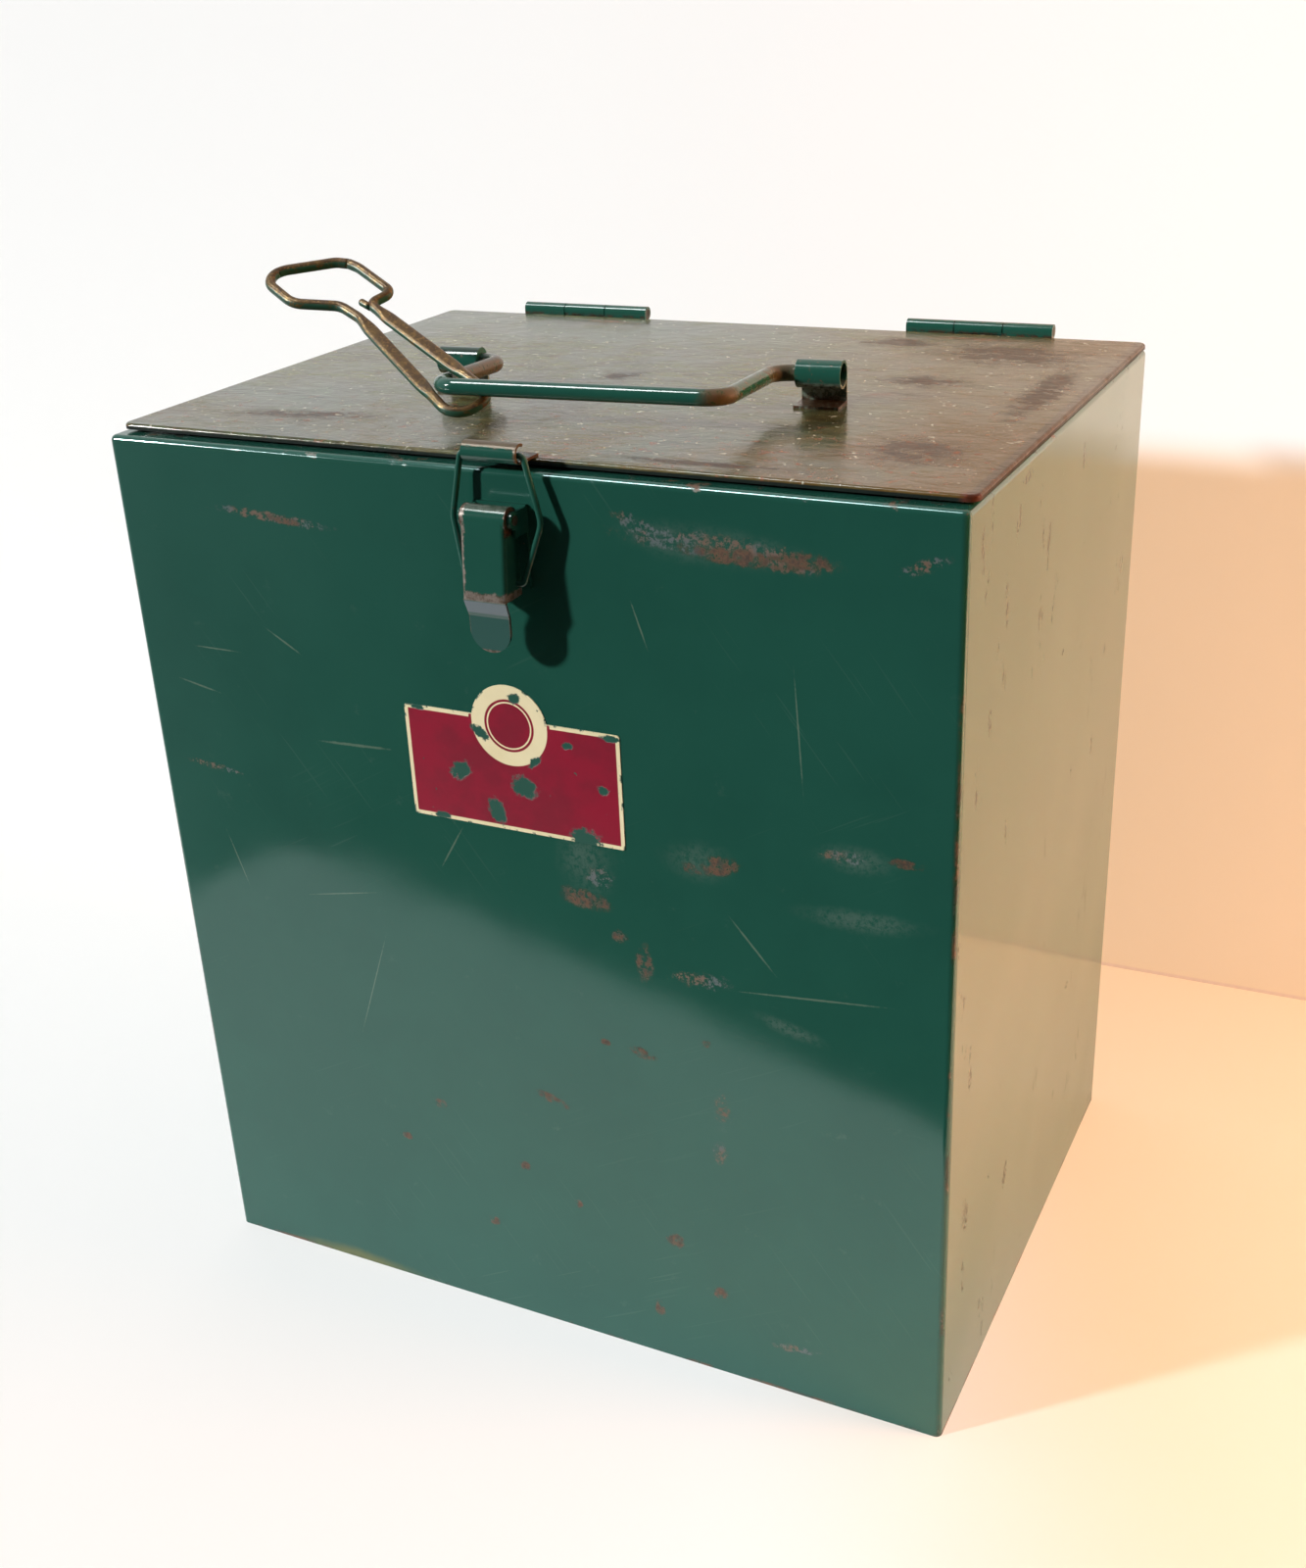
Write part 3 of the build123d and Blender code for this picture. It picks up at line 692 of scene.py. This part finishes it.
class ICEBOX_OT_latch(bpy.types.Operator):
    """Finish the latch base, lever, loop and keeper"""

    bl_idname = "icebox.latch"
    bl_label = "Latch"

    def execute(self, context):
        tip_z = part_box("latch_lever")[0][2]
        middle_x = middle("latch_lever")[0]
        pin_z = middle("latch_pin")[2]
        shoulder_z = pin_z - LEVER_SHOULDER

        def lever_wear_and_highlight(skin, ragged):
            wander = (ragged - 0.5) * 0.004
            above_step = skin.z.ramp(shoulder_z - 0.0006, shoulder_z + 0.0002)
            left = (skin.x - (middle_x - LEVER_FACE) + wander).ramp(0.0003, -0.0003) * above_step
            foot = (skin.z - (shoulder_z + 0.0024) + wander).ramp(0.0006, -0.0004) * above_step
            tip = (skin.z - tip_z - 0.0009 + wander * 0.3).ramp(0.0002, -0.0002)
            # Painted highlight: the thumb tab's rim below the step is painted paler, as a lit edge; the
            # other marks here are worn paint
            outside = ((skin.x - middle_x).size() - LEVER_RIM).ramp(0.0, 0.0003)
            rim_highlight = outside * skin.z.ramp(shoulder_z - 0.004, shoulder_z - 0.006)
            crown = (skin.z - pin_z + wander * 0.5).ramp(0.0024, 0.0032)
            return left.bigger(foot).bigger(tip).bigger(crown * 0.35).bigger(rim_highlight * 0.5)

        def lever_rust(skin, ragged):
            ends = (skin.x - middle_x).size().ramp(*LEVER_ENDS)
            at_pin = (skin.z - pin_z).size().ramp(0.0052, 0.0040)
            return ends * at_pin * ragged.ramp(0.36, 0.46)

        def lever_step_and_tab_sheen(skin, ragged):
            # Painted sheen: the upward-facing step is painted pale as if mirroring the floor, and the
            # tab below it a little paler, as painted light
            below = skin.z.ramp(shoulder_z - 0.0002, shoulder_z - 0.0008)
            return below * (0.22 + skin.z.ramp(shoulder_z - 0.0050, shoulder_z - 0.0044) * 0.78)

        green = hardware_green("lever_green", 31.0, "8c8078", lever_wear_and_highlight, lever_rust, lever_step_and_tab_sheen)
        dress("latch_lever", green)
        dress("latch_base", hardware_green("latch_base_green", 33.0, "6a6a60", specks(0.66)))
        dress("latch_pin", pin_steel("latch_pin_steel"))
        dress("latch_loop", hardware_green("loop_green", 35.0, "7d7452", specks(0.64)))
        keeper_right, _, keeper_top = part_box("latch_keeper")[1]

        def keeper_worn(skin, ragged):
            wander = (ragged - 0.5) * 0.002
            top = (skin.z - keeper_top + wander).ramp(-0.0016, -0.0010)
            end = (skin.x - keeper_right + wander).ramp(-0.0010, -0.0006)
            return top.bigger(end)

        def keeper_rust(skin, ragged):
            strap = (skin.y - (FRONT + 0.001)).ramp(-0.001, 0.002)
            return strap * ragged.ramp(0.34, 0.50)

        green = hardware_green("keeper_green", 37.0, "5c4c38", keeper_worn, keeper_rust)
        dress("latch_keeper", green)
        return {"FINISHED"}


# The label in metres: a rectangle with a round crest on top
LABEL_PLATE_HEIGHT = 0.041
LABEL_CREST_RADIUS = 0.01435
LABEL_RING = (0.0092, 0.0095)  # where the crest's cream ring starts, fading in
LABEL_KEYLINE_RADIUS = 0.0082
# Places where it has flaked off, in millimetres: x, z, half width, half height, turn in degrees
LABEL_CHIPS = [
    (3.5, 228.5, 5.5, 4.5, 0),
    (-8, 218, 3.5, 5.5, 20),
    (26, 213, 6.5, 4.5, -10),
    (-21, 231, 5, 3.5, 30),
    (-12, 246, 4.5, 2.2, -30),
    (2, 260, 2.5, 2.2, 0),
    (21, 246, 2.6, 1.4, 0),
    (33, 232, 2.6, 2.0, 0),
    (-36, 252, 3.2, 1.3, 0),
    (37, 251, 4, 1.4, 0),
    (-30, 212.5, 4, 1.5, 0),
    (8, 238, 3.2, 1.6, 40),
]


class ICEBOX_OT_label(bpy.types.Operator):
    """Finish the blank crimson label with its cream border and ring"""

    bl_idname = "icebox.label"
    bl_label = "Label"

    def execute(self, context):
        low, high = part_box("label_plate")
        skin = Finish("label_crimson")
        middle_x = (low[0] + high[0]) / 2
        crest_z = high[2] - LABEL_CREST_RADIUS
        plate_top = low[2] + LABEL_PLATE_HEIGHT
        plate_z = (low[2] + plate_top) / 2
        side = (skin.x - middle_x).size() - (high[0] - low[0]) / 2
        level = (skin.z - plate_z).size() - LABEL_PLATE_HEIGHT / 2
        square = side.bigger(level)
        dx = skin.x - middle_x
        dz = skin.z - crest_z
        radius = (dx * dx + dz * dz).math("SQRT")
        outline = square.smaller(radius - LABEL_CREST_RADIUS)
        border = outline.ramp(-0.00150, -0.00125)
        in_crest = radius.ramp(LABEL_CREST_RADIUS + 0.0001, LABEL_CREST_RADIUS - 0.0001)
        ring = in_crest * radius.ramp(*LABEL_RING)
        cream = border.bigger(ring)
        keyline = (radius - LABEL_KEYLINE_RADIUS).size().ramp(0.00035, 0.00020)
        cream = cream.bigger(keyline)
        # A crimson line parts the crest from the plate
        round_crest = (radius - (LABEL_CREST_RADIUS + 0.0006)).size().ramp(0.0006, 0.0004)
        gap = round_crest * skin.z.ramp(plate_top, plate_top - 0.0004)
        cream = cream * (1 - gap)
        ragged = skin.noise(420, 5, 0.75)
        cloud = skin.noise(70, 4, 0.6, seed=4.0)
        chips = skin.any_of(skin.front_patch, LABEL_CHIPS, ragged, 0.3, 1.6)
        specks = skin.noise(240, 3, 0.6, seed=6.0).ramp(0.68, 0.70)
        frayed = outline.ramp(-0.0009, 0.0) * skin.noise(260, 4, 0.7, seed=8.0).ramp(0.55, 0.60)
        gone = chips.bigger(specks).bigger(frayed)
        crimson = skin.mix(cloud.ramp(0.35, 0.65), colour("crimson"), tone("7a0f28"))
        base = skin.mix(cream, crimson, skin.mix(cloud, colour("cream"), tone("ddd0a2")))
        base = skin.mix(gone, base, colour("enamel"))
        normal = skin.bump(1 - gone, 0.00015, 0.7)
        dress("label_plate", skin.finish(base, 0.32 + cloud * 0.1, 0.0, normal))
        return {"FINISHED"}


# Where the bail's green is rubbed off: centre, half sizes and turn
BAIL_WEAR = [
    ((0.0603, -0.0700, LID_TOP + 0.0132), (0.010, 0.010, 0.010), (0, 0, 0)),
    ((0.0570, -0.0220, LID_TOP + 0.0105), (0.013, 0.013, 0.010), (0, 0, 0)),
    ((-0.0400, -0.0450, LID_TOP + 0.0110), (0.012, 0.040, 0.012), (0, 0, 0)),
]


class ICEBOX_OT_handle(bpy.types.Operator):
    """Finish the bail and its lugs"""

    bl_idname = "icebox.handle"
    bl_label = "Handle"

    def execute(self, context):
        def bail_worn(skin, ragged):
            arms = skin.y.ramp(-0.068, -0.060)
            bends = skin.any_of(skin.patch, BAIL_WEAR, ragged, 0.6, 0.8)
            dots = skin.noise(220, 4, 0.7, seed=41.0).ramp(0.66, 0.70)
            worn = (arms * ragged.ramp(0.48, 0.62)).bigger(bends * ragged.ramp(0.30, 0.46))
            return worn.bigger(dots * 0.7)

        dress("bail_handle", hardware_green("bail_green", 43.0, "554a30", bail_worn))

        def lug_lit_web_and_wear(skin, ragged):
            # Painted light: the web below the tube is painted pale grey-green as if lit; the specks
            # elsewhere are worn paint
            web = (skin.z - (LID_TOP + 0.0078)).ramp(0.0008, -0.0008)
            return (web * ragged.ramp(0.66, 0.50)).bigger(ragged.ramp(0.60, 0.66))

        def lug_rust(skin, ragged):
            foot = (skin.z - (LID_TOP + 0.0018)).ramp(0.0010, -0.0010)
            return foot * ragged.ramp(0.34, 0.50)

        green = hardware_green("lug_green", 45.0, "7c8a7c", lug_lit_web_and_wear, lug_rust)
        dress("handle_lug_left", green)
        dress("handle_lug_right", green)
        return {"FINISHED"}


# The opener's bent wire in its own plane, in millimetres: the butt joint, then corners and bend radii
OPENER_JOINT = (99.9, -8.5)
OPENER_JOINT_GAP = 0.3
OPENER_BENDS = [
    (95.6, -9.5, 12.0),
    (77.0, -9.5, 3.0),
    (77.7, -0.1, 2.6),
    (12.8, -0.1, 5.6),
    (12.8, 16.3, 7.4),
    (74.5, 6.9, 14.0),
    (84.0, 7.6, 8.0),
    (96.8, 18.5, 9.0),
    (114.0, 18.1, 5.6),
    (113.5, 10.4, 9.0),
    (103.8, -5.7, 7.0),
]
# Where along its length the shanks begin and end being flat, and how much boxier they get there
OPENER_PRESSED = (26.0, 34.0, 66.0, 74.0)
OPENER_BOXINESS = 1.2
# The catch, a tooth: along, across, length, radius, how far it goes across for each millimetre along,
# and the part of its length from which its tip is rounded
OPENER_CATCH = (76.2, 0.7, 5.2, 1.3, 0.12, 0.78)
# How it lies: directions in degrees, its plane's origin from the bail's in millimetres, and the
# bail's place on the lid and turn about the upright
OPENER_HEADING, OPENER_RISE, OPENER_ROLL = 157.8, 21.8, -20.0
OPENER_ANCHOR = (-20.35, -51.94, 4.9)
BAIL_PLACE = (6.5, -23.3)
BAIL_TURN = 4.84

ARC_STEPS = 24  # points of one bend
ROUND_STEPS = 24  # points around the wire


def bent_line(corners, radii, spacing):
    """Evenly spaced points along straight runs joined by arcs.

    An arc of radius r that turns by a starts r * tan(a / 2) before its corner.
    """
    points = [np.array(corners[0], float)]
    for before, corner, after, radius in zip(corners[:-2], corners[1:-1], corners[2:], radii):
        before, corner, after = (np.array(p, float) for p in (before, corner, after))
        ahead = (corner - before) / np.linalg.norm(corner - before)
        onward = (after - corner) / np.linalg.norm(after - corner)
        turn = math.atan2(ahead[0] * onward[1] - ahead[1] * onward[0], ahead @ onward)
        start = corner - ahead * radius * math.tan(abs(turn) / 2)
        inward = np.array([-ahead[1], ahead[0]]) * math.copysign(radius, turn)
        arm = -inward
        for angle in np.linspace(0, turn, ARC_STEPS):
            c, s = math.cos(angle), math.sin(angle)
            points.append(start + inward + np.array([c * arm[0] - s * arm[1], s * arm[0] + c * arm[1]]))
    points.append(np.array(corners[-1], float))
    points = np.array(points)
    run = np.concatenate([[0], np.cumsum(np.linalg.norm(np.diff(points, axis=0), axis=1))])
    even = np.linspace(0, run[-1], max(2, int(run[-1] / spacing)))
    return np.stack([np.interp(even, run, points[:, i]) for i in (0, 1)], axis=1)


def smooth(value, start, end):
    """Smoothstep: 0 at start, 1 at end."""
    t = np.clip((value - start) / (end - start), 0, 1)
    return t * t * (3 - 2 * t)


def tube(line, half_width, half_height, square):
    """Rings and faces of a closed tube about a line in the XY plane.

    Ring point k is centre + side * half_width * c + up * half_height * s, where c and s are cos and sin
    of k / ROUND_STEPS turns raised to 2 / square, which is a circle for square 2 and boxier above it.
    """
    forward = np.gradient(line, axis=0)
    forward /= np.linalg.norm(forward, axis=1)[:, None]
    side = np.stack([-forward[:, 1], forward[:, 0]], axis=1)
    around = ROUND_STEPS
    angle = np.arange(around) * 2 * math.pi / around
    power = (2 / square)[:, None]
    c = np.sign(np.cos(angle)) * np.abs(np.cos(angle)) ** power
    s = np.sign(np.sin(angle)) * np.abs(np.sin(angle)) ** power
    flat = line[:, None, :] + side[:, None, :] * (half_width[:, None] * c)[:, :, None]
    rings = np.concatenate([flat, (half_height[:, None] * s)[:, :, None]], axis=2)
    count = len(line)
    faces = []
    for i in range(count - 1):
        low, high = i * around, (i + 1) * around
        for k in range(around):
            onward = (k + 1) % around
            faces.append((low + k, low + onward, high + onward, high + k))
    faces.append(tuple(reversed(range(around))))
    faces.append(tuple(range((count - 1) * around, count * around)))
    return rings.reshape(-1, 3), faces


def catch_tube():
    """The opener's catch: a round tooth with a rounded tip."""
    along, across, length, radius, slant, round_from = OPENER_CATCH
    rest = 1 - round_from
    # Places along the tooth from 0 to 1, closer together towards the tip
    tip = 1 - rest * (1 - np.sin(np.linspace(0.1, 1.5, 8)))
    t = np.concatenate([np.linspace(0, round_from, 4), tip])
    line = np.stack([along + t * length, across + t * length * slant], axis=1)
    # The tip's circle ends just past the tooth, so that its last ring stays open
    past = ((t - round_from) / (rest + 0.002)).clip(0, 1)
    radii = radius * np.sqrt(np.clip(1 - past**2, 0.01, 1))
    return tube(line, radii, radii, np.full(len(t), 2.0))


def opener_place():
    """Matrix from the opener's plane, in millimetres, to its place on the bail, in metres."""
    heading, rise, roll = map(math.radians, (OPENER_HEADING, OPENER_RISE, OPENER_ROLL))
    flat = Vector((math.cos(heading), math.sin(heading), 0))
    along = flat * math.cos(rise) + Vector((0, 0, math.sin(rise)))
    level = Vector((-math.sin(heading), math.cos(heading), 0))
    across = level * math.cos(roll) + along.cross(level) * math.sin(roll)
    turned = Matrix((along, across, along.cross(across))).transposed().to_4x4()
    bail_turn = Matrix.Rotation(math.radians(BAIL_TURN), 4, "Z")
    bail = Matrix.Translation((*BAIL_PLACE, LID_TOP / MM)) @ bail_turn
    return Matrix.Scale(MM, 4) @ bail @ Matrix.Translation(OPENER_ANCHOR) @ turned


class ICEBOX_OT_opener(bpy.types.Operator):
    """Make the hung opener: one bent round wire whose two shanks are pressed flat"""

    bl_idname = "icebox.opener"
    bl_label = "Opener"

    def execute(self, context):
        size = settings().opener
        joint = np.array(OPENER_JOINT)
        last = np.array(OPENER_BENDS[-1][:2])
        far_side = joint + (last - joint) / np.linalg.norm(last - joint) * OPENER_JOINT_GAP
        corners = [joint] + [bend[:2] for bend in OPENER_BENDS] + [far_side]
        line = bent_line(corners, [bend[2] for bend in OPENER_BENDS], size.spacing / MM)
        along = line[:, 0]
        flat = smooth(along, *OPENER_PRESSED[:2]) * (1 - smooth(along, *OPENER_PRESSED[2:]))
        r = size.wire_radius / MM
        half_width = r + flat * (size.shank_width / MM / 2 - r)
        half_height = r + flat * (size.shank_thickness / MM / 2 - r)
        points, faces = tube(line, half_width, half_height, 2 + OPENER_BOXINESS * flat)
        catch_points, catch_faces = catch_tube()
        faces += [tuple(i + len(points) for i in face) for face in catch_faces]
        points = np.concatenate([points, catch_points])
        place = np.array(opener_place())
        points = points @ place[:3, :3].T + place[:3, 3]
        mesh = bpy.data.meshes.new("opener_wire")
        mesh.from_pydata(points.tolist(), [], faces)
        mesh.polygons.foreach_set("use_smooth", [len(face) == 4 for face in faces])
        mesh.materials.append(self.browned_steel())
        wire = bpy.data.objects.new("opener_wire", mesh)
        context.scene.collection.objects.link(wire)
        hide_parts("bottle_opener")
        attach(wire, "opener")
        return {"FINISHED"}

    def browned_steel(self):
        """Bronze-brown on top, green paint left on the sides and underneath."""
        skin = Finish("opener_browned_steel")
        ragged = skin.noise(260, 6, 0.75)
        grit = skin.noise(900, 4, 0.7, seed=1.0)
        up = skin.split(skin.node("ShaderNodeNewGeometry")[NORMAL])[2]
        base = skin.mix(ragged.ramp(0.35, 0.6), colour("wire"), tone("4a3826"))
        base = skin.mix(grit.ramp(0.52, 0.66) * 0.6, base, tone("a5824a"))
        paint = (0.45 - up).ramp(-0.10, 0.25) * ragged.ramp(0.34, 0.46)
        base = skin.mix(paint, base, tone("1f4737"))
        red = skin.noise(120, 5, 0.7, seed=3.0).ramp(0.58, 0.70)
        base = skin.mix(red * 0.6, base, tone("6a3c22"))
        metal = 0.55 - paint * 0.5
        normal = skin.bump(grit, 0.00008, 0.6)
        return skin.finish(base, 0.26 + ragged * 0.2, metal, normal)


# The stage, in metres
STAGE_REACH = 3.0  # how far floor and wall go to either side, and the apron to the front
WALL_HEIGHT = 2.5
# The wall's depth at x = 0, where the opened lid just clears it, and how fast it grows with x
WALL_Y, WALL_SLANT = 0.224, 0.03
# The front edge of the floor, whose mirror image parts the dark from the pale on the front wall
FLOOR_EDGE = [
    (-STAGE_REACH, -0.3, 0),
    (-0.55, -0.26, 0),
    (-0.36, -0.335, 0),
    (-0.345, -0.405, 0),
    (-0.268, -0.400, 0),
    (-0.203, -0.384, 0),
    (-0.075, -0.337, 0),
    (0.098, -0.281, 0),
    (STAGE_REACH, 0.3, 0),
]
# Below this line the backdrop is painted warm for the camera, painted warm light in the box's shadow
SHADOW_TOP, SHADOW_FALL = 0.270, 0.019  # the box's shadow on the wall: height at x = 0, fall with x
# How strongly painted shade darkens the wall's foot along the seam
SEAM_SHADE = 0.6  # how much the wall's foot is darkened

KEY_HEADING = (0.676, 0.624, -0.391)  # to the right, away from the camera and a little down
KEY_ANGLE = 4  # how wide the key light looks, in degrees
WARM_PLACE = (0.95, 0.13, 0.42)
WARM_TARGET = (0.24, 0.14, 0.08)
WARM_SIZE = 0.36

ROOM_DARKEST = 0.02  # the room's light where it shines least
CAMERA_WHITE = 0.96  # what the camera sees where there is no backdrop

# The camera that was fitted to the photo
CAMERA_PLACE = (0.28783, -0.573244, 0.47799)
CAMERA_RIGHT = (0.89794154, 0.43801542, -0.04293587)
CAMERA_AHEAD = (-0.41386336, 0.80716608, -0.42095135)
SENSOR_MM = 36.0


def sheet_mesh(name, corners, material):
    """Flat sheet facing the way its corners turn."""
    mesh = bpy.data.meshes.new(name)
    mesh.from_pydata(corners, [], [tuple(range(len(corners)))])
    mesh.materials.append(material)
    item = bpy.data.objects.new(name, mesh)
    bpy.context.scene.collection.objects.link(item)
    return item


def add_lamp(name, kind, heading, power, colour):
    """Lamp that shines along a heading."""
    lamp = bpy.data.lights.new(name, kind)
    lamp.energy = power
    lamp.color = colour
    item = bpy.data.objects.new(name, lamp)
    item.rotation_mode = "QUATERNION"
    item.rotation_quaternion = Vector(heading).to_track_quat("-Z", "Y")
    bpy.context.scene.collection.objects.link(item)
    return item


def backdrop_finish(name, glow, seam_shade=0.0):
    """Pale paper that takes the shadow and that the camera and mirrors see lifted towards white.

    It is painted warm on the right, painted warm light: for the camera only below the box's shadow line
    on the wall, for mirrors above it too; seam_shade paints shade along a wall's foot.
    """
    skin = Finish(name)
    shaded = (SHADOW_TOP - skin.x * SHADOW_FALL - skin.z).ramp(-0.012, 0.010)
    ray = skin.node("ShaderNodeLightPath")
    in_mirror = ray[GLOSSY_RAY]
    # Painted warm light, standing in for the warm lamp in the box's shadow and in mirrors
    warm = (skin.x + skin.y * 0.5).ramp(0.0, 0.20) * shaded.bigger(in_mirror * 0.75)
    seen_tone = skin.mix(warm, (0.98, 1.0, 1.0, 1), (1.0, 0.66, 0.39, 1))
    # Painted shade along the seam where the wall meets the floor
    foot = skin.z.ramp(0.0024, 0.0012) * warm * seam_shade
    seen_tone = skin.mix(foot, seen_tone, (0.78, 0.42, 0.33, 1))
    paper = skin.node("ShaderNodeBsdfDiffuse", {0: (0.92, 0.92, 0.91, 1)})[0]
    seen = skin.node("ShaderNodeEmission", {0: seen_tone, 1: 1.0})[0]
    looked_at = ray[CAMERA_RAY].bigger(in_mirror).bigger(ray[TRANSMISSION_RAY])
    lifted = looked_at * (glow - warm * glow * 0.12)
    both = skin.node("ShaderNodeMixShader", {0: lifted, 1: paper, 2: seen})[0]
    # The camera looks through the back of the paper, so the box shows from behind too
    clear = skin.node("ShaderNodeBsdfTransparent")[0]
    from_behind = skin.node("ShaderNodeNewGeometry")[BACKFACING] * ray[CAMERA_RAY]
    open_back = skin.node("ShaderNodeMixShader", {0: from_behind, 1: both, 2: clear})[0]
    skin.node("ShaderNodeOutputMaterial", {0: open_back})
    return skin.material


class ICEBOX_OT_stage(bpy.types.Operator):
    """Make the pale floor and wall, the room, the lamps and the camera"""

    bl_idname = "icebox.stage"
    bl_label = "Stage"

    def execute(self, context):
        stage = settings().stage
        context.scene.view_settings.view_transform = "Standard"
        self.backdrop(stage)
        self.room(context.scene, stage)
        self.lamps(stage)
        self.camera(context.scene, stage)
        return {"FINISHED"}

    def backdrop(self, stage):
        """A pale sheet lies under the box, stops in front of it and meets a pale wall behind it."""
        wall_left = (-STAGE_REACH, WALL_Y - WALL_SLANT * STAGE_REACH)
        wall_right = (STAGE_REACH, WALL_Y + WALL_SLANT * STAGE_REACH)
        wall_foot = [(*wall_left, 0), (*wall_right, 0)]
        wall_corners = wall_foot + [(*wall_right, WALL_HEIGHT), (*wall_left, WALL_HEIGHT)]
        floor_paper = backdrop_finish("floor_paper", stage.backdrop_glow)
        sheet_mesh("floor", FLOOR_EDGE + wall_foot[::-1], floor_paper)
        # Past the front edge only the camera sees a floor; mirrors and light find a dark room there
        front_corners = [(-STAGE_REACH, -STAGE_REACH, 0), (STAGE_REACH, -STAGE_REACH, 0)]
        apron = sheet_mesh("floor_apron", front_corners + FLOOR_EDGE[::-1], floor_paper)
        apron.visible_diffuse = apron.visible_glossy = apron.visible_shadow = False
        wall_paper = backdrop_finish("wall_paper", stage.backdrop_glow, SEAM_SHADE)
        sheet_mesh("wall", wall_corners, wall_paper)

    def room(self, scene, stage):
        """Light from above, behind and the left, warmer to the right, and a window for the mirrors."""
        world = bpy.data.worlds.new("room")
        scene.world = world
        world.use_nodes = True
        room = Writer(world.node_tree)
        dx, dy, dz = room.split(room.node("ShaderNodeTexCoord")[GENERATED])
        above = (dz + dy * 0.7).ramp(0.05, 0.65)
        behind = dy.ramp(-0.1, 0.5)
        left = dx.ramp(-0.48, -0.80)
        window = (dx * -0.40 + dy * -0.28 + dz * 0.87).ramp(0.985, 0.994)
        mirrored = room.node("ShaderNodeLightPath")[GLOSSY_RAY]
        window_light = window * mirrored * stage.window_level
        level = (above * 0.8).bigger(behind * 0.8) + left * 0.75 + ROOM_DARKEST + window_light
        warm = dx.ramp(0.0, 0.8)
        tint = room.mix(warm, (0.95, 0.98, 1.0, 1), (1.0, 0.80, 0.58, 1))
        seen = room.node("ShaderNodeLightPath")[CAMERA_RAY]
        strength = level * stage.world_level * (1 - seen) + seen * CAMERA_WHITE
        shown = room.mix(seen, tint, WHITE)
        lit = room.node("ShaderNodeBackground", {0: shown, 1: strength})[0]
        room.node("ShaderNodeOutputWorld", {0: lit})

    def lamps(self, stage):
        """A small hard key light from the front left and a warm lamp on the right."""
        key = add_lamp("key_lamp", "SUN", KEY_HEADING, stage.key_power, (1.0, 0.99, 0.98))
        key.data.angle = math.radians(KEY_ANGLE)
        heading = Vector(WARM_TARGET) - Vector(WARM_PLACE)
        warm = add_lamp("warm_lamp", "AREA", heading, stage.warm_power, (1.0, 0.42, 0.16))
        warm.data.shape = "SQUARE"
        warm.data.size = WARM_SIZE
        warm.location = WARM_PLACE
        warm.visible_glossy = False

    def camera(self, scene, stage):
        """The fitted camera."""
        lens = bpy.data.cameras.new("camera")
        lens.sensor_fit = "AUTO"
        lens.sensor_width = SENSOR_MM
        lens.lens = stage.focal_mm
        lens.clip_start = 0.01
        camera = bpy.data.objects.new("camera", lens)
        scene.collection.objects.link(camera)
        right = Vector(CAMERA_RIGHT)
        ahead = Vector(CAMERA_AHEAD)
        turn = Matrix((right, right.cross(ahead), -ahead)).transposed()
        camera.matrix_world = Matrix.Translation(CAMERA_PLACE) @ turn.to_4x4()
        scene.camera = camera


class ICEBOX_PT_panel(bpy.types.Panel):
    """Lists the pieces of the ice box"""

    bl_idname = "ICEBOX_PT_panel"
    bl_label = "Ice box"
    bl_space_type = "VIEW_3D"
    bl_region_type = "UI"
    bl_category = "Ice box"

    def draw(self, context):
        for operator in OPERATORS:
            self.layout.operator(operator.bl_idname)


OPERATORS = (
    ICEBOX_OT_stage,
    ICEBOX_OT_box,
    ICEBOX_OT_inside,
    ICEBOX_OT_lid,
    ICEBOX_OT_hinges,
    ICEBOX_OT_latch,
    ICEBOX_OT_label,
    ICEBOX_OT_handle,
    ICEBOX_OT_opener,
)
GROUPS = (ICEBOX_PG_colours, ICEBOX_PG_stage, ICEBOX_PG_wear, ICEBOX_PG_opener, ICEBOX_PG_settings)
CLASSES = (*GROUPS, *OPERATORS, ICEBOX_PT_panel)


def register():
    for each in CLASSES:
        bpy.utils.register_class(each)
    bpy.types.Scene.ice_box = PointerProperty(type=ICEBOX_PG_settings)


def unregister():
    del bpy.types.Scene.ice_box
    for each in reversed(CLASSES):
        bpy.utils.unregister_class(each)


def main():
    register()
    for operator in OPERATORS:
        group, name = operator.bl_idname.split(".")
        getattr(getattr(bpy.ops, group), name)()


if __name__ == "__main__":
    main()
